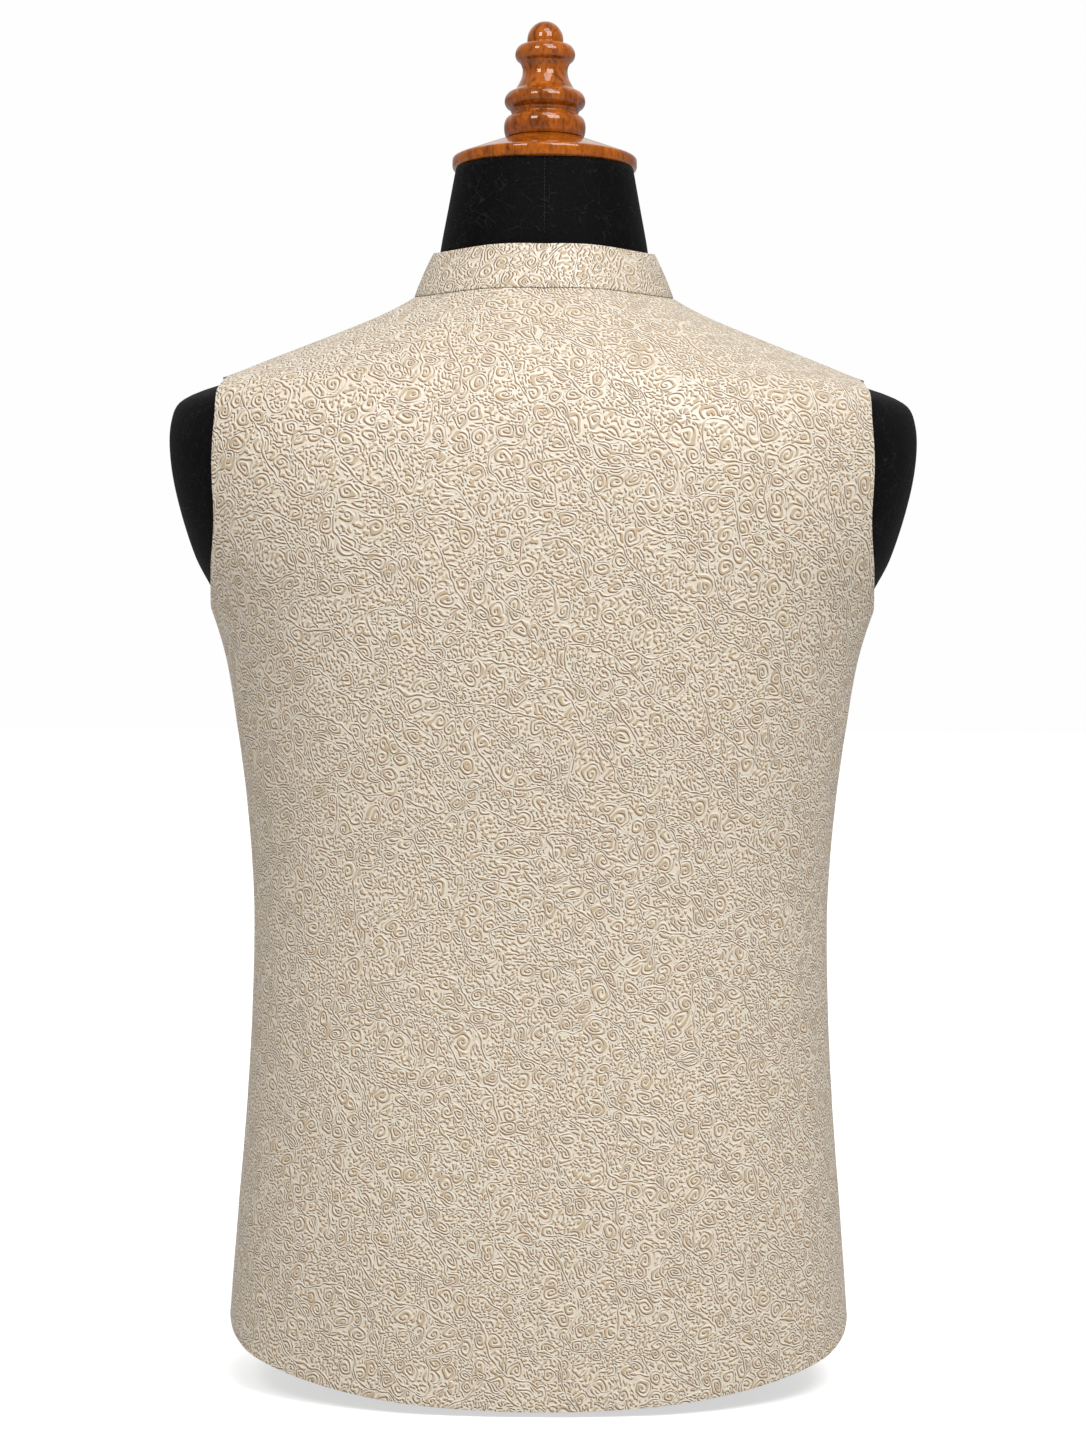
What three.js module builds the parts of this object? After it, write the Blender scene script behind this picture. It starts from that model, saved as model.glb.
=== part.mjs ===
// A man's band-collar waistcoat in cream brocade, buttoned at the front, on a
// limbless black dress form with a turned wooden neck cap and finial.
// Millimetres, +Z up. -Y is the wearer's back, +Y the button front, +X the
// wearer's right. The origin is on the floor, under the middle of the form.

import * as THREE from 'three';

// Driving sizes
const WALL = 1.8; // brocade, interlining and lining together
const SEAM_GAP = 0.3; // between pieces that are sewn together
const LAP_GAP = 0.7; // between the two fronts where they lap
const HEM_BACK_Z = 3.5; // lowest point of the hem, at the centre back
const HEM_SIDE_Z = 41.2; // hem at the side seams
const HEM_FRONT_Z = 17; // hem at the centre front
const UNDERARM_Z = 474; // lowest point of the armhole
const SHOULDER_TIP_Z = 620; // outer end of the shoulder seam
const NECK = { halfWidth: 80.9, back: 72, front: 80 }; // neckline seen from above
const NECK_SIDE_Z = 671; // inner end of the shoulder seam
const ARMHOLE = { back: 73, front: 78, upper: 3.4, lower: 2.1 }; // reach off the side seam
// How far each front runs past the centre, where the lower one steps down under
// the upper one, and how far the upper one's top corner is cut away.
const LAP = { over: 18, under: 15, stepFrom: 44, stepTo: 21, corner: 9 };
// The band collar leans in by these degrees. It is split at the centre front,
// where its corners are cut away over this width and height.
const COLLAR = {
  height: 30.3, lean: { back: 20, side: 23.4, front: 19 }, split: 1.2, corner: { x: 16, z: 9.6 },
};
const BUTTON = { radius: 9, rise: 3.9, lift: 0.4, count: 5, topZ: 612, bottomZ: 196 };
const FORM_BOTTOM_Z = 60;
const LAP_ROOM = 3; // how much further in the form lies behind the lapped fronts
const FOOT = { halfWidth: 112, halfDepth: 74 };
const NECK_AXIS_Y = 7.5;
const PLAN_POWER = 2.3; // how square the body is across the back and chest

// The cloth's outer face, a row for each level: half width, depth behind and
// before the side seam, and how blunt the section is at the side (2 is round).
const CLOTH_SECTIONS = [
  { z: -10, halfWidth: 195.5, back: 131, front: 125, side: 2.3 },
  { z: 40, halfWidth: 192.2, back: 129.5, front: 123.5, side: 2.3 },
  { z: 105, halfWidth: 187.3, back: 127, front: 121.5, side: 2.3 },
  { z: 170, halfWidth: 182.2, back: 122.5, front: 119.5, side: 2.3 },
  { z: 235, halfWidth: 179, back: 118.5, front: 118.5, side: 2.3 },
  { z: 295, halfWidth: 178.7, back: 117.5, front: 119, side: 2.3 },
  { z: 355, halfWidth: 183.2, back: 120, front: 121.5, side: 2.3 },
  { z: 405, halfWidth: 189.7, back: 124, front: 124.5, side: 2.3 },
  { z: 445, halfWidth: 196.5, back: 127, front: 126.5, side: 2.3 },
  { z: 478, halfWidth: 207, back: 129, front: 127, side: 2.25 },
  { z: 507, halfWidth: 221, back: 130, front: 125.5, side: 2.2 },
  { z: 545, halfWidth: 232.5, back: 129.5, front: 120.5, side: 2.1 },
  { z: 575, halfWidth: 237, back: 126, front: 113, side: 2 },
  { z: 595, halfWidth: 236.5, back: 121.5, front: 104.5, side: 1.85 },
  { z: 607, halfWidth: 231.5, back: 117.5, front: 97.5, side: 1.7 },
  { z: 614, halfWidth: 220, back: 114.5, front: 93, side: 1.55 },
  { z: 620, halfWidth: 200.3, back: 111.5, front: 89, side: 1.45 },
  { z: 632, halfWidth: 170.5, back: 103.5, front: 80, side: 1.35 },
  { z: 645, halfWidth: 137.5, back: 93, front: 70, side: 1.3 },
  { z: 657, halfWidth: 108, back: 82, front: 62, side: 1.3 },
  { z: 664, halfWidth: 93, back: 75, front: 57, side: 1.35 },
  { z: 671, halfWidth: 80.9, back: 69, front: 52, side: 1.4 },
  { z: 680, halfWidth: 68, back: 61, front: 46, side: 1.5 },
];

// The dress form up to its shoulders: how far it lies inside the cloth's outer face.
const FORM_INSETS = [
  { z: FORM_BOTTOM_Z, inset: 18 }, { z: 64, inset: 12.5 }, { z: 74, inset: 10.5 }, { z: 105, inset: 10 },
  { z: 170, inset: 9.7 }, { z: 235, inset: 9.7 }, { z: 295, inset: 9.7 }, { z: 355, inset: 9.7 },
  { z: 405, inset: 9.5 }, { z: 445, inset: 8.5 }, { z: 465, inset: 6.8 }, { z: 482, inset: 5.6 },
  { z: 500, inset: 4.9 }, { z: 524, inset: 4.6 }, { z: 548, inset: 4.3 }, { z: 568, inset: 4 },
  { z: 585, inset: 4.3 }, { z: 597, inset: 4.8 }, { z: 605, inset: 5 }, { z: 611, inset: 4.9 },
  { z: 616, inset: 4.4 }, { z: 620, inset: 3.7 }, { z: 626, inset: 3 }, { z: 632, inset: 2.7 },
  { z: 639, inset: 2.9 }, { z: 646, inset: 3.3 },
];

// Its neck, a row for each level, as for the cloth.
const NECK_SECTIONS = [
  { z: 648.6, halfWidth: 120, back: 82, front: 59.5, side: 1.32 },
  { z: 654.5, halfWidth: 105, back: 75.5, front: 57, side: 1.36 },
  { z: 660.5, halfWidth: 90.5, back: 69.5, front: 56, side: 1.45 },
  { z: 666, halfWidth: 79.8, back: 64.5, front: 56, side: 1.6 },
  { z: 671.5, halfWidth: 72.6, back: 61, front: 57, side: 1.8 },
  { z: 679, halfWidth: 68.2, back: 58.5, front: 58.5, side: 1.97 },
  { z: 690, halfWidth: 66, back: 56.8, front: 60.5, side: 2 },
  { z: 703, halfWidth: 64.3, back: 55.6, front: 62, side: 2 },
  { z: 727, halfWidth: 59.9, back: 52, front: 63.5, side: 2 },
  { z: 751.2, halfWidth: 55.5, back: 48, front: 63, side: 2 },
];

// Turned profiles: radius and height, from the axis at the foot to the axis on top.
const NECK_CAP_PROFILE = [
  { r: 0, z: 751.5 }, { r: 55.2, z: 751.5 }, { r: 57, z: 752.3 }, { r: 57.8, z: 754 },
  { r: 57.8, z: 758 }, { r: 57.2, z: 759.4 }, { r: 55.8, z: 760.2 }, { r: 46, z: 763.9 },
  { r: 35, z: 768 }, { r: 24, z: 772 }, { r: 0, z: 772 },
];
const FINIAL_PROFILE = [
  { r: 0, z: 772.3 }, { r: 24.2, z: 772.3 }, { r: 25.2, z: 775.2 }, { r: 25.6, z: 778.8 },
  { r: 25.3, z: 781.8 }, { r: 24.2, z: 784.4 }, { r: 22.2, z: 786 }, { r: 21, z: 786.3 },
  { r: 20.6, z: 787.6 }, { r: 21.3, z: 788.6 }, { r: 21.4, z: 789.8 }, { r: 23.8, z: 791.4 },
  { r: 25.1, z: 793.6 }, { r: 25.3, z: 796 }, { r: 24.6, z: 798.4 }, { r: 22.8, z: 800.6 },
  { r: 20, z: 801.9 }, { r: 18.4, z: 803 }, { r: 16.6, z: 806.2 }, { r: 14.8, z: 810 },
  { r: 14.1, z: 813.8 }, { r: 14.5, z: 817 }, { r: 15.8, z: 819.8 }, { r: 17.6, z: 821.2 },
  { r: 18.6, z: 823.2 }, { r: 18.8, z: 825.2 }, { r: 18.2, z: 827.6 }, { r: 16.4, z: 829.9 },
  { r: 13.4, z: 831.2 }, { r: 11.3, z: 831.6 }, { r: 11.3, z: 834.4 }, { r: 10.7, z: 837.8 },
  { r: 9, z: 841 }, { r: 6.4, z: 843.6 }, { r: 3.2, z: 845.2 }, { r: 0, z: 845.6 },
];

// Mesh density
const PANEL_COLUMNS = 12;
const BODY_ROWS = 13; // hem to underarm
const ARMHOLE_ROWS = 12;
const SHOULDER_ROWS = 6;
const COLLAR_ROWS = 3;
const FORM_SEGMENTS = 32;
const FOOT_SEGMENTS = 32; // in half of its oval
const TURNED_SEGMENTS = 24;
const BUTTON_SEGMENTS = 16;

const QUARTER = Math.PI / 2;
const radians = THREE.MathUtils.degToRad;

const CLOTH = { color: 0xd8c9b0, roughness: 0.6, metalness: 0 };
const JERSEY = { color: 0x141414, roughness: 0.8, metalness: 0 };
const WOOD = { color: 0xa4561c, roughness: 0.2, metalness: 0 };

const waistcoat = new THREE.Group();

function addPart(name, geometry, finish) {
  const mesh = new THREE.Mesh(geometry, new THREE.MeshStandardMaterial(finish));
  mesh.name = name;
  waistcoat.add(mesh);
  return mesh;
}

// One column of a section table at height z, on a smooth curve through its rows.
function sizeAt(sections, column, z) {
  const last = sections.length - 2;
  let i = 0;
  while (i < last && z > sections[i + 1].z) i += 1;
  const slope = (k) => {
    const low = sections[Math.max(k - 1, 0)];
    const high = sections[Math.min(k + 1, sections.length - 1)];
    return (high[column] - low[column]) / (high.z - low.z);
  };
  const from = sections[i];
  const to = sections[i + 1];
  const span = to.z - from.z;
  const s = (z - from.z) / span;
  const rise = (to[column] - from[column]) * s * s * (3 - 2 * s);
  return from[column] + rise
    + span * s * (1 - s) * (slope(i) * (1 - s) - slope(i + 1) * s);
}

// A point of a section table's surface. turn runs from 0 at the centre back over
// a quarter turn at the side to a half turn at the centre front.
function surfacePoint(sections, turn, z) {
  const across = Math.sin(turn);
  const along = Math.cos(turn);
  const depth = along > 0 ? sizeAt(sections, 'back', z) : sizeAt(sections, 'front', z);
  return new THREE.Vector3(
    Math.sign(across) * sizeAt(sections, 'halfWidth', z) * Math.abs(across) ** (2 / PLAN_POWER),
    -Math.sign(along) * depth * Math.abs(along) ** (2 / sizeAt(sections, 'side', z)),
    z,
  );
}

function clothNormal(turn, z) {
  const dt = 0.02;
  const dz = 1.5;
  const around = surfacePoint(CLOTH_SECTIONS, turn + dt, z)
    .sub(surfacePoint(CLOTH_SECTIONS, turn - dt, z));
  const up = surfacePoint(CLOTH_SECTIONS, turn, z + dz)
    .sub(surfacePoint(CLOTH_SECTIONS, turn, z - dz));
  return around.cross(up).normalize();
}

// Height of the neckline where it crosses this turn of the body, found by halving.
function necklineZ(turn) {
  const halvings = 40;
  let low = UNDERARM_Z;
  let high = CLOTH_SECTIONS[CLOTH_SECTIONS.length - 1].z;
  for (let step = 0; step < halvings; step += 1) {
    const z = (low + high) / 2;
    const p = surfacePoint(CLOTH_SECTIONS, turn, z);
    const depth = p.y < 0 ? NECK.back : NECK.front;
    if (Math.hypot(p.x / NECK.halfWidth, p.y / depth) > 1) low = z;
    else high = z;
  }
  return low;
}

// The hem is lowest at the centre back and front and rises to the side seams.
function hemZ(turn) {
  const across = Math.abs(Math.sin(turn)) ** (2 / PLAN_POWER);
  const dip = Math.sqrt(Math.max(0, 1 - across * across));
  const middle = Math.cos(turn) > 0 ? HEM_BACK_Z : HEM_FRONT_Z;
  return HEM_SIDE_Z - (HEM_SIDE_Z - middle) * dip;
}

// How far the armhole's edge lies from the side seam, as a turn of the body.
function armholeTurn(level, towardsFront) {
  const middle = (UNDERARM_Z + SHOULDER_TIP_Z) / 2;
  const half = (SHOULDER_TIP_Z - UNDERARM_Z) / 2;
  const off = Math.min(1, Math.abs(level - middle) / half);
  const power = level > middle ? ARMHOLE.upper : ARMHOLE.lower;
  const reach = (towardsFront ? ARMHOLE.front : ARMHOLE.back) * (1 - off ** power) ** (1 / power);
  const depth = sizeAt(CLOTH_SECTIONS, towardsFront ? 'front' : 'back', level);
  return Math.acos((reach / depth) ** (sizeAt(CLOTH_SECTIONS, 'side', level) / 2));
}

const shares = (count) => [...Array(count).keys()].map((i) => i / count);

// A panel's rows: shares of the side seam up to the underarm, then heights along
// the armhole and the shoulder seam.
function panelRows() {
  const body = shares(BODY_ROWS).map((share) => ({ share }));
  // Closer near the ends of the armhole, where its edge turns fastest.
  const armhole = shares(ARMHOLE_ROWS).map((share) => {
    const below = Math.cos(Math.PI * share);
    const power = below < 0 ? ARMHOLE.upper : ARMHOLE.lower;
    const climbed = (1 - Math.sign(below) * Math.abs(below) ** (2 / power)) / 2;
    return { level: THREE.MathUtils.lerp(UNDERARM_Z, SHOULDER_TIP_Z, climbed) };
  });
  const shoulder = [...shares(SHOULDER_ROWS), 1]
    .map((share) => ({ level: THREE.MathUtils.lerp(SHOULDER_TIP_Z, NECK_SIDE_Z, share) }));
  return [...body, ...armhole, ...shoulder];
}

// Height of a row where it crosses this turn: rows follow the hem below the
// underarm and fan out towards the neckline, less any drop, above it.
function rowZ(row, turn, drop = 0) {
  if ('share' in row) {
    return THREE.MathUtils.lerp(hemZ(turn), UNDERARM_Z, row.share);
  }
  const stretch = (necklineZ(turn) - drop - UNDERARM_Z) / (NECK_SIDE_Z - UNDERARM_Z);
  return UNDERARM_Z + (row.level - UNDERARM_Z) * stretch;
}

// Joins a grid of outer points and the matching inner points into a closed wall.
function wallGeometry(outer, inner) {
  const rows = outer.length;
  const columns = outer[0].length;
  const positions = [...outer.flat(), ...inner.flat()].flatMap((p) => [p.x, p.y, p.z]);
  const at = (row, column, layer) => layer * rows * columns + row * columns + column;
  const index = [];
  const quad = (a, b, c, d) => index.push(a, b, c, a, c, d);
  for (let r = 0; r + 1 < rows; r += 1) {
    for (let c = 0; c + 1 < columns; c += 1) {
      quad(at(r, c, 0), at(r, c + 1, 0), at(r + 1, c + 1, 0), at(r + 1, c, 0));
      quad(at(r, c, 1), at(r + 1, c, 1), at(r + 1, c + 1, 1), at(r, c + 1, 1));
    }
  }
  for (let c = 0; c + 1 < columns; c += 1) {
    quad(at(0, c, 0), at(0, c, 1), at(0, c + 1, 1), at(0, c + 1, 0));
    quad(at(rows - 1, c + 1, 0), at(rows - 1, c + 1, 1), at(rows - 1, c, 1), at(rows - 1, c, 0));
  }
  for (let r = 0; r + 1 < rows; r += 1) {
    quad(at(r + 1, 0, 0), at(r + 1, 0, 1), at(r, 0, 1), at(r, 0, 0));
    quad(at(r, columns - 1, 0), at(r, columns - 1, 1), at(r + 1, columns - 1, 1),
      at(r + 1, columns - 1, 0));
  }
  const geometry = new THREE.BufferGeometry();
  geometry.setAttribute('position', new THREE.Float32BufferAttribute(positions, 3));
  geometry.setIndex(index);
  return geometry;
}

// Mirrors a closed geometry to the wearer's left and keeps its faces outwards.
function mirrored(geometry) {
  const copy = geometry.clone().scale(-1, 1, 1);
  const index = copy.getIndex();
  for (let i = 0; i < index.count; i += 3) {
    const second = index.getX(i + 1);
    index.setX(i + 1, index.getX(i + 2));
    index.setX(i + 2, second);
  }
  return copy;
}

// A cloth panel of the wearer's right side. place(row, share) gives a turn, how
// deep the outer face lies under the cloth's surface, and how far its top is cut
// down there; seam moves the edge points.
function panelGeometry(place, seam) {
  const outer = [];
  const inner = [];
  for (const row of panelRows()) {
    const outerRow = [];
    const innerRow = [];
    for (let column = 0; column <= PANEL_COLUMNS; column += 1) {
      const { turn, sunk = 0, drop = 0 } = place(row, column / PANEL_COLUMNS);
      const z = rowZ(row, turn, drop);
      const normal = clothNormal(turn, z);
      const face = surfacePoint(CLOTH_SECTIONS, turn, z).addScaledVector(normal, -sunk);
      seam(face, column);
      outerRow.push(face);
      innerRow.push(face.clone().addScaledVector(normal, -WALL));
    }
    outer.push(outerRow);
    inner.push(innerRow);
  }
  return wallGeometry(outer, inner);
}

function sideTurn(row, towardsFront) {
  if ('share' in row || row.level <= UNDERARM_Z || row.level >= SHOULDER_TIP_Z) return QUARTER;
  const turn = armholeTurn(row.level, towardsFront);
  return towardsFront ? Math.PI - turn : turn;
}

function backPanel() {
  return panelGeometry(
    (row, share) => ({ turn: sideTurn(row, false) * share }),
    (point, column) => {
      if (column === 0) point.x += SEAM_GAP / 2;
      if (column === PANEL_COLUMNS) point.y -= SEAM_GAP / 2;
    },
  );
}

// The turn at which the front crosses x on a level, either side of the centre.
function frontTurn(x, z) {
  const share = Math.abs(x) / sizeAt(CLOTH_SECTIONS, 'halfWidth', z);
  return Math.PI - Math.sign(x) * Math.asin(share ** (PLAN_POWER / 2));
}

// The columns of each front past the side's even ones, as x on the wearer's right.
// The upper front's top corner is cut away, clear of the collar's end.
const UPPER_EDGE = [{ x: 0 }, { x: -LAP.over / 2, drop: LAP.corner / 4 },
  { x: -LAP.over, drop: LAP.corner }];
const UNDER_EDGE = [{ x: LAP.stepFrom }, { x: LAP.stepTo, sunk: WALL + LAP_GAP },
  { x: 0, sunk: WALL + LAP_GAP }, { x: -LAP.under, sunk: WALL + LAP_GAP }];

// Where a front's column crosses a row.
function frontPlace(row, share, edge) {
  const z = rowZ(row, Math.PI);
  const even = PANEL_COLUMNS - edge.length + 1;
  const column = Math.round(share * PANEL_COLUMNS);
  if (column > even) {
    const { x, sunk, drop } = edge[column - even];
    return { turn: frontTurn(x, z), sunk, drop };
  }
  const from = sideTurn(row, true);
  return { turn: from + (frontTurn(edge[0].x, z) - from) * (column / even) };
}

function frontPanel(edge) {
  return panelGeometry(
    (row, share) => frontPlace(row, share, edge),
    (point, column) => {
      if (column === 0) point.y += SEAM_GAP / 2;
    },
  );
}

// The turns at which the collar leaves the neckline, from the centre back to the
// centre front: those of the panels' own top points, so that the two stay even.
function collarTurns(edge) {
  const top = { level: NECK_SIDE_Z };
  const back = shares(PANEL_COLUMNS).map((share) => QUARTER * share);
  const end = frontTurn(COLLAR.split / 2, rowZ(top, Math.PI));
  const front = shares(PANEL_COLUMNS).map((share) => frontPlace(top, share, edge).turn)
    .filter((turn) => turn < end);
  return [...back, ...front, end];
}

// The band collar: a leaning strip on the neckline, split at the centre front.
function collarGeometry() {
  const heights = [...shares(COLLAR_ROWS), 1];
  const outer = heights.map(() => []);
  const inner = heights.map(() => []);
  const left = collarTurns(UPPER_EDGE).slice(1).reverse();
  const turns = [...left.map((turn) => ({ turn, side: -1 })),
    ...collarTurns(UNDER_EDGE).map((turn) => ({ turn, side: 1 }))];
  for (const { turn, side } of turns) {
    const base = surfacePoint(CLOTH_SECTIONS, turn, necklineZ(turn));
    base.x *= side;
    base.z += SEAM_GAP;
    const depth = base.y < 0 ? NECK.back : NECK.front;
    const outward = new THREE.Vector3(base.x / NECK.halfWidth ** 2, base.y / depth ** 2, 0)
      .normalize();
    const end = base.y < 0 ? COLLAR.lean.back : COLLAR.lean.front;
    const lean = radians(THREE.MathUtils.lerp(COLLAR.lean.side, end, Math.cos(turn) ** 2));
    const up = outward.clone().multiplyScalar(-Math.sin(lean));
    up.z = Math.cos(lean);
    const normal = outward.clone().multiplyScalar(Math.cos(lean));
    normal.z = Math.sin(lean);
    // The front corners are rounded.
    const fromEnd = Math.min(1, Math.abs(base.x) / COLLAR.corner.x);
    const cut = base.y > 0 ? 1 - Math.sqrt(1 - (1 - fromEnd) ** 2) : 0;
    const tall = COLLAR.height - COLLAR.corner.z * cut;
    heights.forEach((share, row) => {
      const face = base.clone().addScaledVector(up, tall * share);
      outer[row].push(face);
      inner[row].push(face.clone().addScaledVector(normal, -WALL));
    });
  }
  return wallGeometry(outer, inner);
}

// The dress form's rings: set in from the cloth, then the neck's own.
function formRings() {
  const turns = shares(FORM_SEGMENTS).map((share) => 2 * Math.PI * share);
  const body = FORM_INSETS.map(({ z, inset }) => turns.map((turn) => {
    const room = LAP_ROOM * Math.max(0, -Math.cos(turn)) ** 6;
    const point = surfacePoint(CLOTH_SECTIONS, turn, z)
      .addScaledVector(clothNormal(turn, z), -inset - room);
    if (z < UNDERARM_Z) point.z = z;
    return point;
  }));
  const neck = NECK_SECTIONS.map(({ z }) => turns
    .map((turn) => surfacePoint(NECK_SECTIONS, turn, z)));
  return [...body, ...neck];
}

// The dress form: closed rings with flat ends.
function formGeometry() {
  const rings = formRings();
  const positions = rings.flat().flatMap((p) => [p.x, p.y, p.z]);
  const index = [];
  const at = (ring, i) => ring * FORM_SEGMENTS + (i % FORM_SEGMENTS);
  const top = rings.length - 1;
  for (let ring = 0; ring < top; ring += 1) {
    for (let i = 0; i < FORM_SEGMENTS; i += 1) {
      index.push(at(ring, i), at(ring, i + 1), at(ring + 1, i + 1));
      index.push(at(ring, i), at(ring + 1, i + 1), at(ring + 1, i));
    }
  }
  const middle = positions.length / 3;
  positions.push(0, 0, rings[0][0].z, 0, NECK_AXIS_Y, rings[top][0].z);
  for (let i = 0; i < FORM_SEGMENTS; i += 1) {
    index.push(middle, at(0, i + 1), at(0, i));
    index.push(middle + 1, at(top, i), at(top, i + 1));
  }
  const geometry = new THREE.BufferGeometry();
  geometry.setAttribute('position', new THREE.Float32BufferAttribute(positions, 3));
  geometry.setIndex(index);
  return geometry;
}

function turnedGeometry(profile, segments) {
  const points = profile.map(({ r, z }) => new THREE.Vector2(r, z));
  return new THREE.LatheGeometry(points, segments).rotateX(QUARTER);
}

// A plain oval foot, set back under the form.
function footGeometry() {
  const oval = new THREE.Shape();
  oval.absellipse(0, 0, FOOT.halfWidth, FOOT.halfDepth, 0, 2 * Math.PI, false, 0);
  return new THREE.ExtrudeGeometry(oval, {
    depth: FORM_BOTTOM_Z - SEAM_GAP, bevelEnabled: false, curveSegments: FOOT_SEGMENTS,
  });
}

// Cloth-covered domed buttons down the middle of the overlap.
function addButtons() {
  const { radius, rise } = BUTTON;
  const profile = [
    { r: 0, z: 0 }, { r: radius * 0.62, z: 0 }, { r: radius * 0.95, z: rise * 0.2 },
    { r: radius, z: rise * 0.42 }, { r: radius * 0.88, z: rise * 0.72 },
    { r: radius * 0.55, z: rise * 0.93 }, { r: 0, z: rise },
  ];
  const geometry = turnedGeometry(profile, BUTTON_SEGMENTS);
  for (let i = 0; i < BUTTON.count; i += 1) {
    const z = THREE.MathUtils.lerp(BUTTON.topZ, BUTTON.bottomZ, i / (BUTTON.count - 1));
    const normal = clothNormal(Math.PI, z);
    const button = addPart(`button_${i + 1}`, geometry.clone(), CLOTH);
    button.position.copy(surfacePoint(CLOTH_SECTIONS, Math.PI, z))
      .addScaledVector(normal, BUTTON.lift);
    button.quaternion.setFromUnitVectors(new THREE.Vector3(0, 0, 1), normal);
  }
}

const back = backPanel();
addPart('back_right', back, CLOTH);
addPart('back_left', mirrored(back), CLOTH);
addPart('front_right', frontPanel(UNDER_EDGE), CLOTH);
addPart('front_left', mirrored(frontPanel(UPPER_EDGE)), CLOTH);
addPart('collar', collarGeometry(), CLOTH);
addButtons();
addPart('dress_form', formGeometry(), JERSEY);
addPart('form_foot', footGeometry(), JERSEY);
const turned = [['neck_cap', NECK_CAP_PROFILE], ['finial', FINIAL_PROFILE]];
for (const [name, profile] of turned) {
  addPart(name, turnedGeometry(profile, TURNED_SEGMENTS), WOOD).position.y = NECK_AXIS_Y;
}

export default waistcoat;
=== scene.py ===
# Looks of a brocade waistcoat on a black dress form with a turned wooden finial.
import logging
import math
from dataclasses import dataclass, field
from enum import Enum
from typing import Iterable, Sequence

import bpy
import numpy as np
from mathutils import Matrix, Vector


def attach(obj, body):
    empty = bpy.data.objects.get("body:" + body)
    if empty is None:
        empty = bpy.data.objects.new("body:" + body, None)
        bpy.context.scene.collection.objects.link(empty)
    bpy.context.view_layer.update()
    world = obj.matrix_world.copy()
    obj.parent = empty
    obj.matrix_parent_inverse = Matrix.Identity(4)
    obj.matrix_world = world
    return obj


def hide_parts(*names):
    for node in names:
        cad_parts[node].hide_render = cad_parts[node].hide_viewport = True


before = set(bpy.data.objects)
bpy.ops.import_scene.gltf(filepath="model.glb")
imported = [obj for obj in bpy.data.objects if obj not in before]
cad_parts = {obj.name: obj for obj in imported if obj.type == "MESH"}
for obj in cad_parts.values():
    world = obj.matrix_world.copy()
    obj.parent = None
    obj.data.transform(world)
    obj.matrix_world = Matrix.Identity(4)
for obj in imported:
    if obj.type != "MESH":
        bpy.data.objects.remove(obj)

log = logging.getLogger("waistcoat")

MM = 0.001
BODY = "root"
QUARTER_TURN = math.pi / 2
CUT_MAP = "Cut"
# The numbers of a colour Mix node's sockets, which share their names with its other kinds.
MIX_LOW, MIX_HIGH, MIX_RESULT = 6, 7, 2


# Node trees as arithmetic


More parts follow.
